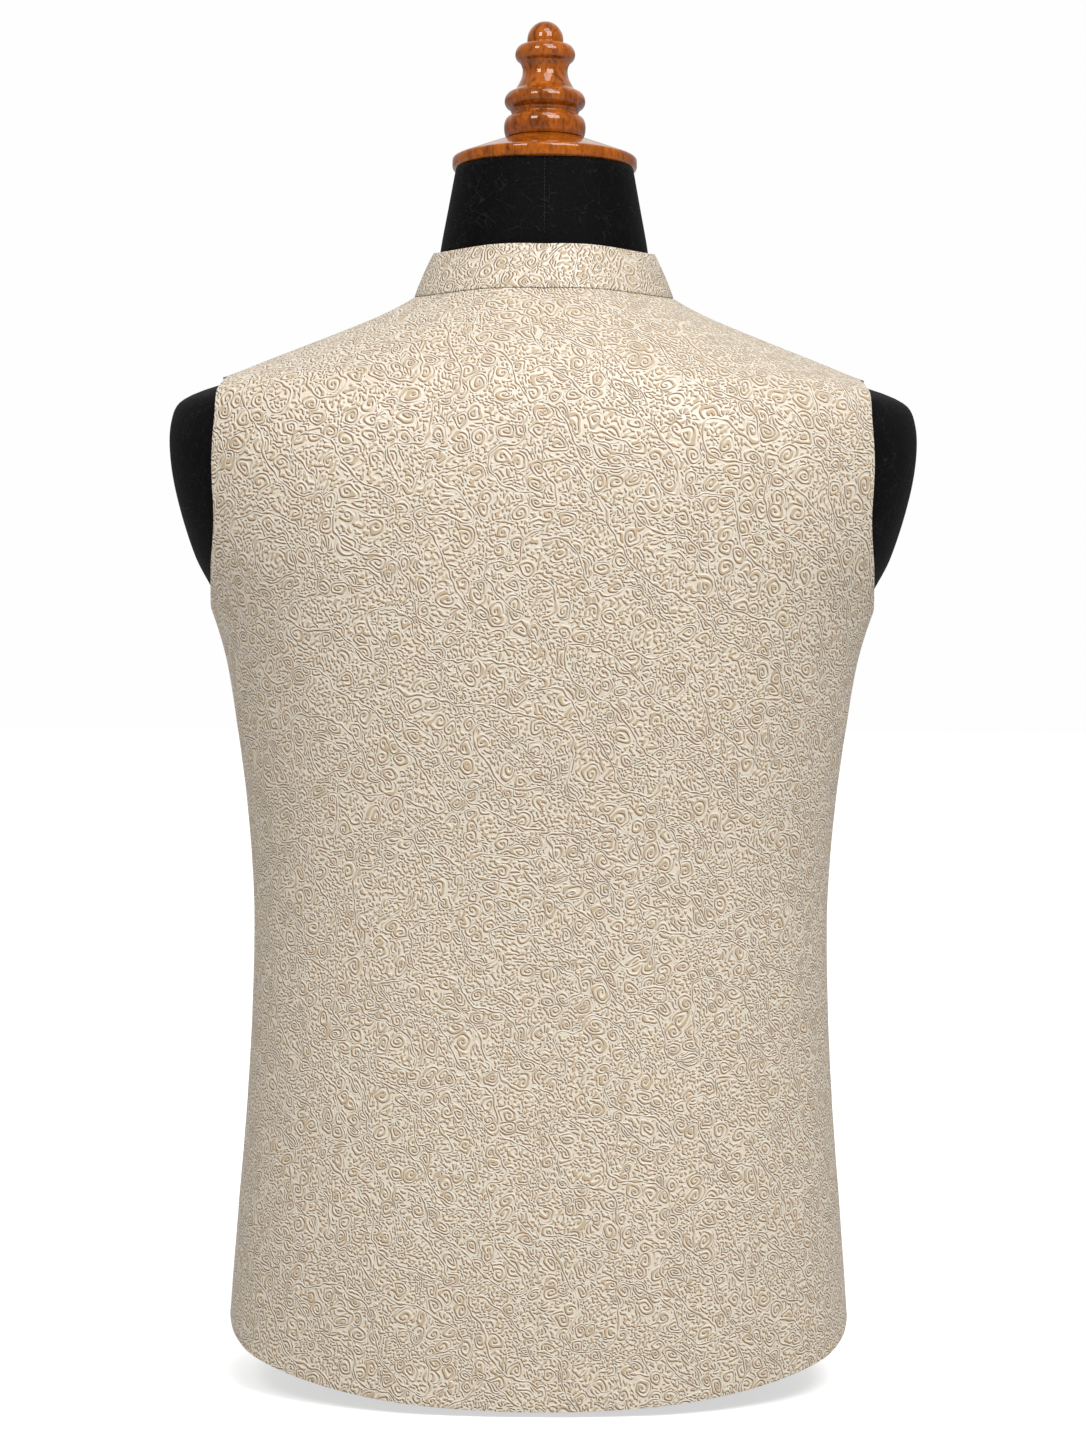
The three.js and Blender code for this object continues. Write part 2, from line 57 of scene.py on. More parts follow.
class Field:
    """A value, vector or colour that varies over a surface, held as a node socket."""

    def __init__(self, tree: bpy.types.NodeTree, socket: bpy.types.NodeSocket) -> None:
        """Keeps the socket and its tree.

        Args:
            tree: The node tree that the socket belongs to.
            socket: The output socket that carries the field.
        """
        self.tree = tree
        self.socket = socket

    def into(self, target: bpy.types.NodeSocket) -> None:
        """Links the field into an input socket."""
        self.tree.links.new(self.socket, target)

    def math(self, operation: str, *others: "Operand") -> "Field":
        """Runs a Math node on the field.

        Args:
            operation: The Math node's operation.
            *others: The node's further inputs, fields or numbers.

        Returns:
            The node's value.
        """
        node = self.tree.nodes.new("ShaderNodeMath")
        node.operation = operation
        for slot, value in zip(node.inputs, (self, *others)):
            plug(value, slot)
        return Field(self.tree, node.outputs[0])

    def vector(self, operation: str, *others: "Operand", output: int = 0) -> "Field":
        """Runs a Vector Math node on the field.

        Args:
            operation: The Vector Math node's operation.
            *others: The node's further inputs, fields, numbers or triples.
            output: Which of the node's outputs to read.

        Returns:
            The chosen output.
        """
        node = self.tree.nodes.new("ShaderNodeVectorMath")
        node.operation = operation
        for slot, value in zip(node.inputs, (self, *others)):
            plug(value, slot)
        return Field(self.tree, node.outputs[output])

    def __add__(self, other: "Operand") -> "Field":
        """Adds."""
        return self.math("ADD", other)

    def __sub__(self, other: "Operand") -> "Field":
        """Subtracts."""
        return self.math("SUBTRACT", other)

    def __mul__(self, other: "Operand") -> "Field":
        """Multiplies."""
        return self.math("MULTIPLY", other)

    def __truediv__(self, other: "Operand") -> "Field":
        """Divides."""
        return self.math("DIVIDE", other)

    def inverse(self) -> "Field":
        """Turns the field over.

        Returns:
            One minus the field.
        """
        node = self.tree.nodes.new("ShaderNodeMath")
        node.operation = "SUBTRACT"
        node.inputs[0].default_value = 1.0
        self.into(node.inputs[1])
        return Field(self.tree, node.outputs[0])

    def below(self, limit: "Operand") -> "Field":
        """One where the field is under the limit, else nought."""
        return self.math("LESS_THAN", limit)

    def larger(self, other: "Operand") -> "Field":
        """The larger of the two."""
        return self.math("MAXIMUM", other)

    def wave(self) -> "Field":
        """A triangle wave of the field: nought at whole numbers and one half way."""
        return (self.math("FRACT") - 0.5).math("ABSOLUTE").math("MULTIPLY_ADD", -2.0, 1.0)

    def ramp(self, start: float, end: float) -> "Field":
        """A smooth step over the field.

        Args:
            start: Where the step is at nought; it may be the larger of the two.
            end: Where the step is at one.

        Returns:
            The step, from nought to one.
        """
        node = self.tree.nodes.new("ShaderNodeMapRange")
        node.interpolation_type = "SMOOTHSTEP"
        self.into(node.inputs["Value"])
        node.inputs["From Min"].default_value = start
        node.inputs["From Max"].default_value = end
        return Field(self.tree, node.outputs["Result"])

    def mixed(self, low: "Operand", high: "Operand") -> "Field":
        """Blends two colours by the field.

        Args:
            low: The colour where the field is nought.
            high: The colour where the field is one.

        Returns:
            The blended colour.
        """
        node = self.tree.nodes.new("ShaderNodeMix")
        node.data_type = "RGBA"
        self.into(node.inputs["Factor"])
        plug(low, node.inputs[MIX_LOW])
        plug(high, node.inputs[MIX_HIGH])
        return Field(self.tree, node.outputs[MIX_RESULT])

    def vector_of(self, y: "Field") -> "Field":
        """Joins two fields into a flat vector.

        Args:
            y: The field that becomes the vector's y, beside this one as its x.

        Returns:
            The vector, with a z of nought.
        """
        node = self.tree.nodes.new("ShaderNodeCombineXYZ")
        self.into(node.inputs["X"])
        y.into(node.inputs["Y"])
        return Field(self.tree, node.outputs[0])

    def parts(self) -> tuple["Field", "Field", "Field"]:
        """Takes a vector or colour apart.

        Returns:
            Its three parts, each a field.
        """
        node = self.tree.nodes.new("ShaderNodeSeparateXYZ")
        self.into(node.inputs[0])
        return tuple(Field(self.tree, socket) for socket in node.outputs)


Operand = Field | float | Sequence[float]


def plug(value: Operand, slot: bpy.types.NodeSocket) -> None:
    """Links a field into a socket, or sets the socket to a number or triple.

    Args:
        value: What the socket is to hold.
        slot: The input socket.
    """
    if isinstance(value, Field):
        value.into(slot)
    else:
        slot.default_value = value


def rotated(vector: Field, turns: Operand) -> Field:
    """Turns a vector about Z.

    Args:
        vector: The vector.
        turns: The angle in radians, a field or a number.

    Returns:
        The turned vector.
    """
    node = vector.tree.nodes.new("ShaderNodeVectorRotate")
    node.rotation_type = "Z_AXIS"
    vector.into(node.inputs["Vector"])
    plug(turns, node.inputs["Angle"])
    return Field(vector.tree, node.outputs[0])


def noise(vector: Field, size: float, detail: float = 0.0, colour: bool = False) -> Field:
    """Samples a Noise texture.

    Args:
        vector: Where to sample, in the unit that size is in.
        size: The width of one grain.
        detail: How many finer layers lie on top.
        colour: Whether to read three unlike values in place of one.

    Returns:
        The value, or the three values as a vector, about one half on average.
    """
    node = vector.tree.nodes.new("ShaderNodeTexNoise")
    node.noise_dimensions = "2D"
    vector.into(node.inputs["Vector"])
    node.inputs["Scale"].default_value = 1.0 / size
    node.inputs["Detail"].default_value = detail
    return Field(vector.tree, node.outputs["Color" if colour else "Fac"])


def labyrinth(vector: Field, pitch: float, run: float) -> Field:
    """An even maze of lines that all keep about one distance.

    Args:
        vector: The place to read it at.
        pitch: The distance from line to line.
        run: How many lines lie side by side before they bend away.

    Returns:
        The height of the lines, about a half.
    """
    node = vector.tree.nodes.new("ShaderNodeTexGabor")
    node.gabor_type = "2D"
    vector.into(node.inputs["Vector"])
    node.inputs["Scale"].default_value = 1 / (pitch * run)
    node.inputs["Frequency"].default_value = run
    node.inputs["Anisotropy"].default_value = 0.0
    return Field(vector.tree, node.outputs["Value"])


def cells(vector: Field, size: float) -> dict[str, Field]:
    """Divides the plane into uneven cells, each about its own middle.

    Args:
        vector: Where to sample.
        size: The spacing of the cells.

    Returns:
        The Voronoi texture's outputs by name.
    """
    node = vector.tree.nodes.new("ShaderNodeTexVoronoi")
    node.voronoi_dimensions = "2D"
    vector.into(node.inputs["Vector"])
    node.inputs["Scale"].default_value = 1.0 / size
    return {s.name: Field(vector.tree, s) for s in node.outputs if s.enabled}


def shader_group(name: str, inputs: dict[str, str], outputs: dict[str, str]) -> bpy.types.NodeTree:
    """Makes an empty shader node group.

    Args:
        name: The group's name.
        inputs: Input names and their socket types.
        outputs: Output names and their socket types.

    Returns:
        The group, with its input and output nodes in place.
    """
    tree = bpy.data.node_groups.new(name, "ShaderNodeTree")
    for in_out, sockets in (("INPUT", inputs), ("OUTPUT", outputs)):
        for socket_name, kind in sockets.items():
            tree.interface.new_socket(socket_name, in_out=in_out, socket_type=kind)
    tree.nodes.new("NodeGroupInput")
    tree.nodes.new("NodeGroupOutput")
    return tree


def group_input(tree: bpy.types.NodeTree, name: str) -> Field:
    """The named input of a group, as a field inside it."""
    node = next(n for n in tree.nodes if n.bl_idname == "NodeGroupInput")
    return Field(tree, node.outputs[name])


def group_output(tree: bpy.types.NodeTree, name: str) -> bpy.types.NodeSocket:
    """The named output socket of a group, seen from inside it."""
    node = next(n for n in tree.nodes if n.bl_idname == "NodeGroupOutput")
    return node.inputs[name]


def camera_ray(tree: bpy.types.NodeTree) -> Field:
    """One on a ray that comes straight from the camera, else nought."""
    return Field(tree, tree.nodes.new("ShaderNodeLightPath").outputs["Is Camera Ray"])


def linear(red: int, green: int, blue: int) -> tuple[float, float, float, float]:
    """Turns a display colour of 0 to 255 into the linear one that a socket takes.

    Args:
        red: The red part.
        green: The green part.
        blue: The blue part.

    Returns:
        The linear colour with full alpha.
    """

    def decode(part: int) -> float:
        """Decodes one part."""
        share = part / 255
        return share / 12.92 if share <= 0.04045 else ((share + 0.055) / 1.055) ** 2.4

    return decode(red), decode(green), decode(blue), 1.0


# Finishes


class Finish:
    """A material with one Principled shader, ready for its fields."""

    def __init__(self, name: str) -> None:
        """Makes the material.

        Args:
            name: The material's name.
        """
        self.material = bpy.data.materials.new(name)
        self.material.use_nodes = True
        self.tree = self.material.node_tree
        self.shader = self.tree.nodes["Principled BSDF"]

    def set(self, **values: float | Sequence[float]) -> None:
        """Sets constants on the shader's own sockets, named with _ for a space."""
        sockets = {s.name.lower().replace(" ", "_"): s for s in self.shader.inputs}
        for name, value in values.items():
            sockets[name].default_value = value

    def feed(self, name: str, value: Field) -> None:
        """Links a field into one of the shader's sockets."""
        value.into(self.shader.inputs[name])

    def uv(self, name: str) -> Field:
        """The position on a UV map.

        Args:
            name: The map's name.

        Returns:
            The position, as the map holds it.
        """
        node = self.tree.nodes.new("ShaderNodeUVMap")
        node.uv_map = name
        return Field(self.tree, node.outputs["UV"])

    def place(self) -> Field:
        """The position on the object, in metres."""
        node = self.tree.nodes.new("ShaderNodeTexCoord")
        return Field(self.tree, node.outputs["Object"])

    def apply(self, group: bpy.types.NodeTree, **values: Operand) -> dict[str, Field]:
        """Places a node group.

        Args:
            group: The group.
            **values: Its inputs, named with _ for a space.

        Returns:
            Its outputs by name.
        """
        node = self.tree.nodes.new("ShaderNodeGroup")
        node.node_tree = group
        for name, value in values.items():
            plug(value, node.inputs[name.replace("_", " ").capitalize()])
        return {s.name: Field(self.tree, s) for s in node.outputs}

    def bump(self, height: Field, depth: float) -> None:
        """Feeds the shader's normal from a height.

        Args:
            height: The height, from nought to one.
            depth: How deep one unit of height is, in metres.
        """
        node = self.tree.nodes.new("ShaderNodeBump")
        node.inputs["Distance"].default_value = depth
        node.inputs["Strength"].default_value = 1.0
        height.into(node.inputs["Height"])
        self.tree.links.new(node.outputs["Normal"], self.shader.inputs["Normal"])


@dataclass(frozen=True)
class Arabesque:
    """The woven design: sizes of its vines, curls and short strokes, in millimetres."""

    sways: tuple[tuple[float, float], ...] = ((26.0, 7.0), (6.5, 2.9))
    vine_size: float = 25.0
    vine_stretch: float = 1.8
    vine_slant: float = math.radians(40)
    vine_spacing: float = 0.34
    vine_step: float = 0.6
    vine_slope: tuple[float, float] = (0.009, 0.014)
    vine_room: float = 0.7
    least_slope: float = 0.002
    uneven_size: float = 5.5
    line_uneven: float = 1.2
    curl_uneven: float = 0.7
    line_half: float = 0.4
    line_soft: float = 0.42
    curl_size: float = 10.0
    curl_pitch: float = 1.9
    curl_edge: tuple[float, float] = (0.13, 0.71)
    curl_reach: float = 3.8
    curl_room: tuple[float, float] = (1.3, 0.3)
    curl_pitch_spread: float = 0.9
    curl_reach_spread: float = 2.0
    fan_strokes: float = 9.0
    fan_bend: float = 0.2
    fan_heart: tuple[float, float] = (0.8, 2.2)
    fan_share: float = 0.08
    ring_share: float = 0.03
    bare_share: float = 0.36
    maze_pitch: float = 2.6
    maze_run: float = 1.25
    maze_edge: tuple[float, float] = (0.42, 0.6)

    def group(self) -> bpy.types.NodeTree:
        """Builds the design's node group.

        Returns:
            A group that takes the place on the cloth in metres and gives the height of
            the raised figure, from nought to one.
        """
        tree = shader_group(
            "arabesque figure", {"Cloth": "NodeSocketVector"}, {"Raised": "NodeSocketFloat"}
        )
        drawn = group_input(tree, "Cloth").vector("MULTIPLY", (1 / MM, 1 / MM, 0.0))
        for size, reach in self.sways:
            push = noise(drawn, size, colour=True).vector("SUBTRACT", (0.5, 0.5, 0.5))
            drawn = drawn.vector("ADD", push.vector("MULTIPLY", (reach, reach, 0.0)))
        uneven = noise(drawn, self.uneven_size) - 0.5
        vines, beside = self._vines(drawn, uneven)
        curls, curl_zone = self._curls(drawn, uneven)
        maze = labyrinth(drawn, self.maze_pitch, self.maze_run).ramp(*self.maze_edge)
        filled = curls.larger(maze * curl_zone.inverse())
        vines.larger(filled * beside).into(group_output(tree, "Raised"))
        return tree

    def _line(self, away: Field, uneven: Field) -> Field:
        """A raised line.

        Args:
            away: The distance from the line's middle, in millimetres.
            uneven: A field about nought that thickens and thins the line.

        Returns:
            One on the line and nought off it.
        """
        reach = away - uneven * self.line_uneven
        return reach.ramp(self.line_half + self.line_soft, self.line_half - self.line_soft)

    def _vines(self, drawn: Field, uneven: Field) -> tuple[Field, Field]:
        """Long strands that wander over the cloth and close into leaves.

        Args:
            drawn: The hand-drawn place.
            uneven: The field that varies the lines' thickness.

        Returns:
            The strands, and a mask of what lies clear of them.
        """
        step = self.vine_step

        def hills(place: Field) -> Field:
            """Smooth slanted hills, whose contours the vines follow.

            Args:
                place: Where to read them.

            Returns:
                Their height.
            """
            slanted = rotated(place, self.vine_slant)
            long = slanted.vector("MULTIPLY", (1 / self.vine_stretch, 1.0, 0.0))
            return noise(long, self.vine_size)

        here = hills(drawn)
        slope_x = hills(drawn.vector("ADD", (step, 0.0, 0.0))) - here
        slope_y = hills(drawn.vector("ADD", (0.0, step, 0.0))) - here
        slope = slope_x.vector_of(slope_y).vector("LENGTH", output=1) / step
        from_contour = ((here / self.vine_spacing).math("FRACT") - 0.5) * self.vine_spacing
        away = (from_contour / slope.larger(self.least_slope)).math("ABSOLUTE")
        steep = slope.ramp(*self.vine_slope)
        clear = self.line_half + self.vine_room
        return (self._line(away, uneven) * steep,
                (away.ramp(clear + 0.5, clear - 0.5) * steep).inverse())

    def _curls(self, drawn: Field, uneven: Field) -> tuple[Field, Field]:
        """Spirals, rings and fans of short strokes, each about its own middle.

        Args:
            drawn: The hand-drawn place.
            uneven: The field that varies the lines' thickness.

        Returns:
            The raised lines, and a mask of the ground that the curls take up.
        """
        cell = cells(drawn, self.curl_size)
        lot, hand, start = cell["Color"].parts()
        local = drawn.vector("SUBTRACT", cell["Position"])
        radius = local.vector("LENGTH", output=1)
        x, y, _ = local.parts()
        turn = y.math("ARCTAN2", x) * (1 / (2 * math.pi)) + start
        handed = hand.below(0.5) * 2.0 - 1.0
        pitch = start * self.curl_pitch_spread + self.curl_pitch
        spiral = (radius / pitch + turn * handed).wave()
        rings = (radius / pitch).wave()
        fan = (turn * self.fan_strokes + radius * handed * self.fan_bend).wave()
        stroke = fan * radius.ramp(*self.fan_heart)
        is_fan = lot.below(self.fan_share)
        no_spiral = lot.below(self.fan_share + self.ring_share)
        figure = spiral * no_spiral.inverse() + rings * (no_spiral - is_fan) + stroke * is_fan
        line = (figure + uneven * self.curl_uneven).ramp(*self.curl_edge)
        reach = hand * self.curl_reach_spread + self.curl_reach
        drawn_here = lot.below(1 - self.bare_share)
        inside = (radius - reach).ramp(0.5, -0.5)
        zone = (radius - reach).ramp(*self.curl_room)
        return line * inside * drawn_here, zone * drawn_here


@dataclass(frozen=True)
class SatinWeave:
    """The yarns: upright satin on the ground and slanted twill on the figure."""

    yarn: float = 0.42 * MM
    waver: float = 3 * MM

    def group(self) -> bpy.types.NodeTree:
        """Builds the weave's node group.

        Returns:
            A group that takes the place on the cloth and the figure, and gives the
            height of the yarns, from nought to one.
        """
        tree = shader_group(
            "satin weave", {"Cloth": "NodeSocketVector", "Raised": "NodeSocketFloat"},
            {"Yarn": "NodeSocketFloat"},
        )
        cloth, raised = group_input(tree, "Cloth"), group_input(tree, "Raised")
        across, along, _ = cloth.parts()
        satin = (across / self.yarn + noise(cloth, self.waver) * 0.6).wave()
        twill = ((across + along) / (self.yarn * 1.5)).wave()
        (satin * raised.inverse() * 0.6 + twill * raised).into(group_output(tree, "Yarn"))
        return tree


@dataclass(frozen=True)
class BrocadeFinish:
    """Pale satin ground with raised beige figures, with painted shade along one side of each
    figure and a painted highlight along the other.
    """

    design: Arabesque = Arabesque()
    weave: SatinWeave = SatinWeave()
    ground: tuple[int, int, int] = (205, 196, 180)
    thread: tuple[int, int, int] = (179, 159, 131)
    # Painted shade and painted highlight: their colours, and the offset and depths that set them
    # on the two sides of each raised figure, as if it were lit from one side.
    shade: tuple[int, int, int] = (104, 70, 40)
    painted_highlight: tuple[int, int, int] = (212, 206, 194)
    painted_light_offset: tuple[float, float, float] = (-0.32 * MM, -0.45 * MM, 0.0)
    painted_shade_depth: tuple[float, float] = (0.1, 0.6)
    painted_shade_share: float = 0.85
    painted_highlight_depth: float = -0.5
    ground_roughness: float = 0.33
    figure_roughness: float = 0.24
    yarn_share: float = 0.08
    relief: float = 0.34 * MM

    def material(self) -> bpy.types.Material:
        """Builds the material.

        Returns:
            The material, which reads the map of the cut cloth.
        """
        finish = Finish("brocade")
        cloth = finish.uv(CUT_MAP)
        figure = self.design.group()
        raised = finish.apply(figure, cloth=cloth)["Raised"]
        # The figure read again a step aside: where it falls away toward that step the colour gets
        # painted shade, and where it rises it gets a painted highlight.
        beyond = finish.apply(figure, cloth=cloth.vector("ADD", self.painted_light_offset))["Raised"]
        woven = finish.apply(self.weave.group(), cloth=cloth, raised=raised)
        fall = raised - beyond
        body = raised.mixed(linear(*self.ground), linear(*self.thread))
        # Painted highlight on the side where the figure rises.
        lit = fall.ramp(0.0, self.painted_highlight_depth).mixed(body, linear(*self.painted_highlight))
        # Painted shade on the side where the figure falls away.
        edge = fall.ramp(*self.painted_shade_depth) * self.painted_shade_share
        yarns = woven["Yarn"] * self.yarn_share
        finish.feed("Base Color", edge.mixed(lit, linear(*self.shade)))
        finish.feed("Roughness", raised * self.figure_roughness + yarns + self.ground_roughness)
        finish.set(specular_ior_level=0.42)
        finish.bump(raised + yarns, self.relief)
        return finish.material


@dataclass(frozen=True)
class ReverseFinish:
    """The plain wrong side of the brocade."""

    colour: tuple[int, int, int] = (226, 214, 194)
    shade: tuple[int, int, int] = (196, 180, 156)
    yarn: float = 0.45 * MM
    relief: float = 0.08 * MM

    def material(self) -> bpy.types.Material:
        """Builds the material.

        Returns:
            The material, a close upright weave.
        """
        finish = Finish("brocade wrong side")
        across, along, _ = finish.uv(CUT_MAP).parts()
        weave = (across / self.yarn).wave() * 0.6 + (along / (self.yarn * 1.4)).wave() * 0.4
        # Painted shade: darker in the hollows between the yarns, where the bump is low.
        finish.feed("Base Color", weave.mixed(linear(*self.shade), linear(*self.colour)))
        finish.set(roughness=0.62)
        finish.bump(weave, self.relief)
        return finish.material


@dataclass(frozen=True)
class JerseyFinish:
    """Matte black jersey, stretched over the form, with faint creases."""

    colour: tuple[int, int, int] = (5, 5, 6)
    lighter_tone: tuple[int, int, int] = (26, 26, 27)
    wale: float = 0.9
    grain_size: float = 2.2
    long_creases: tuple[float, float] = (15.0, 7.0)
    short_creases: tuple[float, float] = (7.5, 5.0)
    crease_edge: tuple[float, float] = (0.42, 0.1)
    relief: float = 0.9 * MM

    def material(self) -> bpy.types.Material:
        """Builds the material.

        Returns:
            The material, which reads the place on the object.
        """
        finish = Finish("black jersey")
        place = finish.place().vector("MULTIPLY", (1 / MM, 1 / MM, 1 / MM))
        x, _, z = place.parts()
        wales = (x / self.wale).wave()
        knit = wales * (z / (self.wale * 0.8) + wales * 0.5).wave()
        grain = self._cloudy(finish, place, self.grain_size, 2.0)
        crease = self._creases(finish, place, *self.long_creases).larger(
            self._creases(finish, place, *self.short_creases) * 0.7)
        # Lighter along the creases, which the bump also raises, and in a faint mottle.
        tone = crease + grain.ramp(0.45, 0.7) * 0.2
        finish.feed("Base Color", tone.mixed(linear(*self.colour), linear(*self.lighter_tone)))
        finish.feed("Roughness", grain * 0.16 + 0.55)
        finish.set(specular_ior_level=0.05)
        finish.bump(knit * 0.12 + grain * 0.25 + crease, self.relief)
        return finish.material

    def _cloudy(self, finish: Finish, place: Field, size: float, detail: float) -> Field:
        """A solid noise on the object.

        Args:
            finish: The finish that it belongs to.
            place: The place on the object, in millimetres.
            size: The width of a grain.
            detail: How many finer layers lie on top.

        Returns:
            The noise.
        """
        node = finish.tree.nodes.new("ShaderNodeTexNoise")
        place.into(node.inputs["Vector"])
        node.inputs["Scale"].default_value = 1 / size
        node.inputs["Detail"].default_value = detail
        return Field(finish.tree, node.outputs["Fac"])

    def _creases(self, finish: Finish, place: Field, size: float, reach: float) -> Field:
        """Thin wandering lines, raised by the bump and lighter in colour.

        Args:
            finish: The finish that they belong to.
            place: The place on the object, in millimetres.
            size: The spacing of the lines.
            reach: How far they wander.

        Returns:
            One on a line and nought off it.
        """
        push = self._cloudy(finish, place, size * 0.8, 1.0) - 0.5
        lift = self._cloudy(finish, place.vector("ADD", (9.0, 5.0, 3.0)), size * 0.6, 1.0) - 0.5
        wander = push.vector_of(lift * 2.0).vector("MULTIPLY", (2.0, 0.0, 0.0))
        bent = place.vector("ADD", wander.vector("MULTIPLY", (reach, reach, reach)))
        upward = lift.vector_of(lift).vector("CROSS_PRODUCT", (0.0, reach, -reach))
        bent = bent.vector("ADD", upward)
        node = finish.tree.nodes.new("ShaderNodeTexVoronoi")
        node.feature = "DISTANCE_TO_EDGE"
        bent.into(node.inputs["Vector"])
        node.inputs["Scale"].default_value = 1 / size
        start, end = self.crease_edge
        line = Field(finish.tree, node.outputs["Distance"]).ramp(start / size, end / size)
        return line * self._cloudy(finish, place, size * 1.1, 0.0).ramp(0.44, 0.6)


@dataclass(frozen=True)
class LacqueredWoodFinish:
    """Turned figured wood under a deep gloss lacquer."""

    pale: tuple[int, int, int] = (168, 86, 6)
    deep: tuple[int, int, int] = (88, 40, 3)
    fleck: tuple[int, int, int] = (36, 14, 3)
    cloud_size: float = 15.0
    figure_size: float = 7.0
    eye_size: float = 3.4
    stretch: float = 0.42

    def material(self) -> bpy.types.Material:
        """Builds the material.

        Returns:
            The material, which reads the place on the object.
        """
        finish = Finish("lacquered wood")
        place = finish.place().vector("MULTIPLY", (1 / MM, 1 / MM, self.stretch / MM))
        cloud = self._noise(finish, place, self.cloud_size, 3.0, 1.2)
        figure = self._noise(finish, place, self.figure_size, 5.0, 3.2)
        eyes = self._noise(finish, place, self.eye_size, 2.0, 1.0).ramp(0.64, 0.72)
        tone = (cloud * 0.5 + figure * 0.6).ramp(0.38, 0.78)
        wood = tone.mixed(linear(*self.pale), linear(*self.deep))
        finish.feed("Base Color", (eyes * 0.5).mixed(wood, linear(*self.fleck)))
        finish.feed("Roughness", figure * 0.2 + 0.3)
        finish.set(specular_ior_level=0.0, coat_weight=1.0, coat_roughness=0.02, coat_ior=1.46)
        return finish.material

    def _noise(self, finish: Finish, place: Field, size: float, detail: float,
               bend: float) -> Field:
        """A swirling solid noise.

        Args:
            finish: The finish that it belongs to.
            place: The place on the object, in millimetres.
            size: The width of a grain.
            detail: How many finer layers lie on top.
            bend: How much the grain swirls.

        Returns:
            The noise.
        """
        node = finish.tree.nodes.new("ShaderNodeTexNoise")
        place.into(node.inputs["Vector"])
        node.inputs["Scale"].default_value = 1 / size
        node.inputs["Detail"].default_value = detail
        node.inputs["Distortion"].default_value = bend
        return Field(finish.tree, node.outputs["Fac"])


@dataclass(frozen=True)
class ThreadFinish:
    """Twisted sewing thread."""

    name: str
    colour: tuple[int, int, int]
    shade: tuple[int, int, int]
    twist: float = 0.35 * MM
    relief: float = 0.05 * MM

    def material(self) -> bpy.types.Material:
        """Builds the material.

        Returns:
            The material, with a fine twist along the stitches.
        """
        finish = Finish(self.name)
        x, _, z = finish.place().parts()
        twist = ((x + z) / self.twist).wave()
        # Painted shade: darker in the grooves of the twist, where the bump is low.
        finish.feed("Base Color", twist.mixed(linear(*self.shade), linear(*self.colour)))
        finish.set(roughness=0.5)
        finish.bump(twist, self.relief)
        return finish.material


@dataclass(frozen=True)
class StudioFloorFinish:
    """A plain pale floor with a faint tooth."""

    colour: tuple[int, int, int] = (206, 206, 206)
    shade: tuple[int, int, int] = (204, 204, 204)
    grain: float = 4 * MM
    glow: float = 0.62

    def material(self) -> bpy.types.Material:
        """Builds the material.

        Returns:
            The material, which glows a little for the camera alone, so that it stays white.
        """
        finish = Finish("pale floor")
        grain = noise(finish.place(), self.grain, 2.0)
        finish.feed("Base Color", grain.mixed(linear(*self.shade), linear(*self.colour)))
        finish.set(roughness=0.9, specular_ior_level=0.1, emission_color=linear(255, 255, 255))
        finish.feed("Emission Strength", camera_ray(finish.tree) * self.glow)
        return finish.material


# The figure's sizes, in millimetres as on the cutter's draft


@dataclass(frozen=True)
class Section:
    """One level of the figure, in millimetres; side 2 is round and less is pointed."""

    z: float
    half_width: float
    back: float
    front: float
    side: float


CLOTH_SECTIONS = (
    Section(-10, 195.5, 131, 125, 2.3),
    Section(40, 192.2, 129.5, 123.5, 2.3),
    Section(105, 187.3, 127, 121.5, 2.3),
    Section(170, 182.2, 122.5, 119.5, 2.3),
    Section(235, 179, 118.5, 118.5, 2.3),
    Section(295, 178.7, 117.5, 119, 2.3),
    Section(355, 183.2, 120, 121.5, 2.3),
    Section(405, 189.7, 124, 124.5, 2.3),
    Section(445, 196.5, 127, 126.5, 2.3),
    Section(478, 207, 129, 127, 2.25),
    Section(507, 221, 130, 125.5, 2.2),
    Section(545, 232.5, 129.5, 120.5, 2.1),
    Section(575, 237, 126, 113, 2),
    Section(595, 236.5, 121.5, 104.5, 1.85),
    Section(607, 231.5, 117.5, 97.5, 1.7),
    Section(614, 220, 114.5, 93, 1.55),
    Section(620, 200.3, 111.5, 89, 1.45),
    Section(632, 170.5, 103.5, 80, 1.35),
    Section(645, 137.5, 93, 70, 1.3),
    Section(657, 108, 82, 62, 1.3),
    Section(664, 93, 75, 57, 1.35),
    Section(671, 80.9, 69, 52, 1.4),
    Section(680, 68, 61, 46, 1.5),
)
NECK_SECTIONS = (
    Section(648.6, 120, 82, 59.5, 1.32),
    Section(654.5, 105, 75.5, 57, 1.36),
    Section(660.5, 90.5, 69.5, 56, 1.45),
    Section(666, 79.8, 64.5, 56, 1.6),
    Section(671.5, 72.6, 61, 57, 1.8),
    Section(679, 68.2, 58.5, 58.5, 1.97),
    Section(690, 66, 56.8, 60.5, 2),
    Section(703, 64.3, 55.6, 62, 2),
    Section(727, 59.9, 52, 63.5, 2),
    Section(751.2, 55.5, 48, 63, 2),
)
PLAN_POWER = 2.3


def through(heights: np.ndarray, values: np.ndarray, z: np.ndarray) -> np.ndarray:
    """Reads a smooth curve through a table's rows.

    Args:
        heights: The rows' heights.
        values: The rows' values.
        z: The heights to read at.

    Returns:
        The values there.
    """
    low = np.maximum(np.arange(len(heights)) - 1, 0)
    high = np.minimum(np.arange(len(heights)) + 1, len(heights) - 1)
    slope = (values[high] - values[low]) / (heights[high] - heights[low])
    i = np.searchsorted(heights[1:-1], z, side="left")
    span = heights[i + 1] - heights[i]
    s = (z - heights[i]) / span
    rise = (values[i + 1] - values[i]) * s * s * (3 - 2 * s)
    return values[i] + rise + span * s * (1 - s) * (slope[i] * (1 - s) - slope[i + 1] * s)


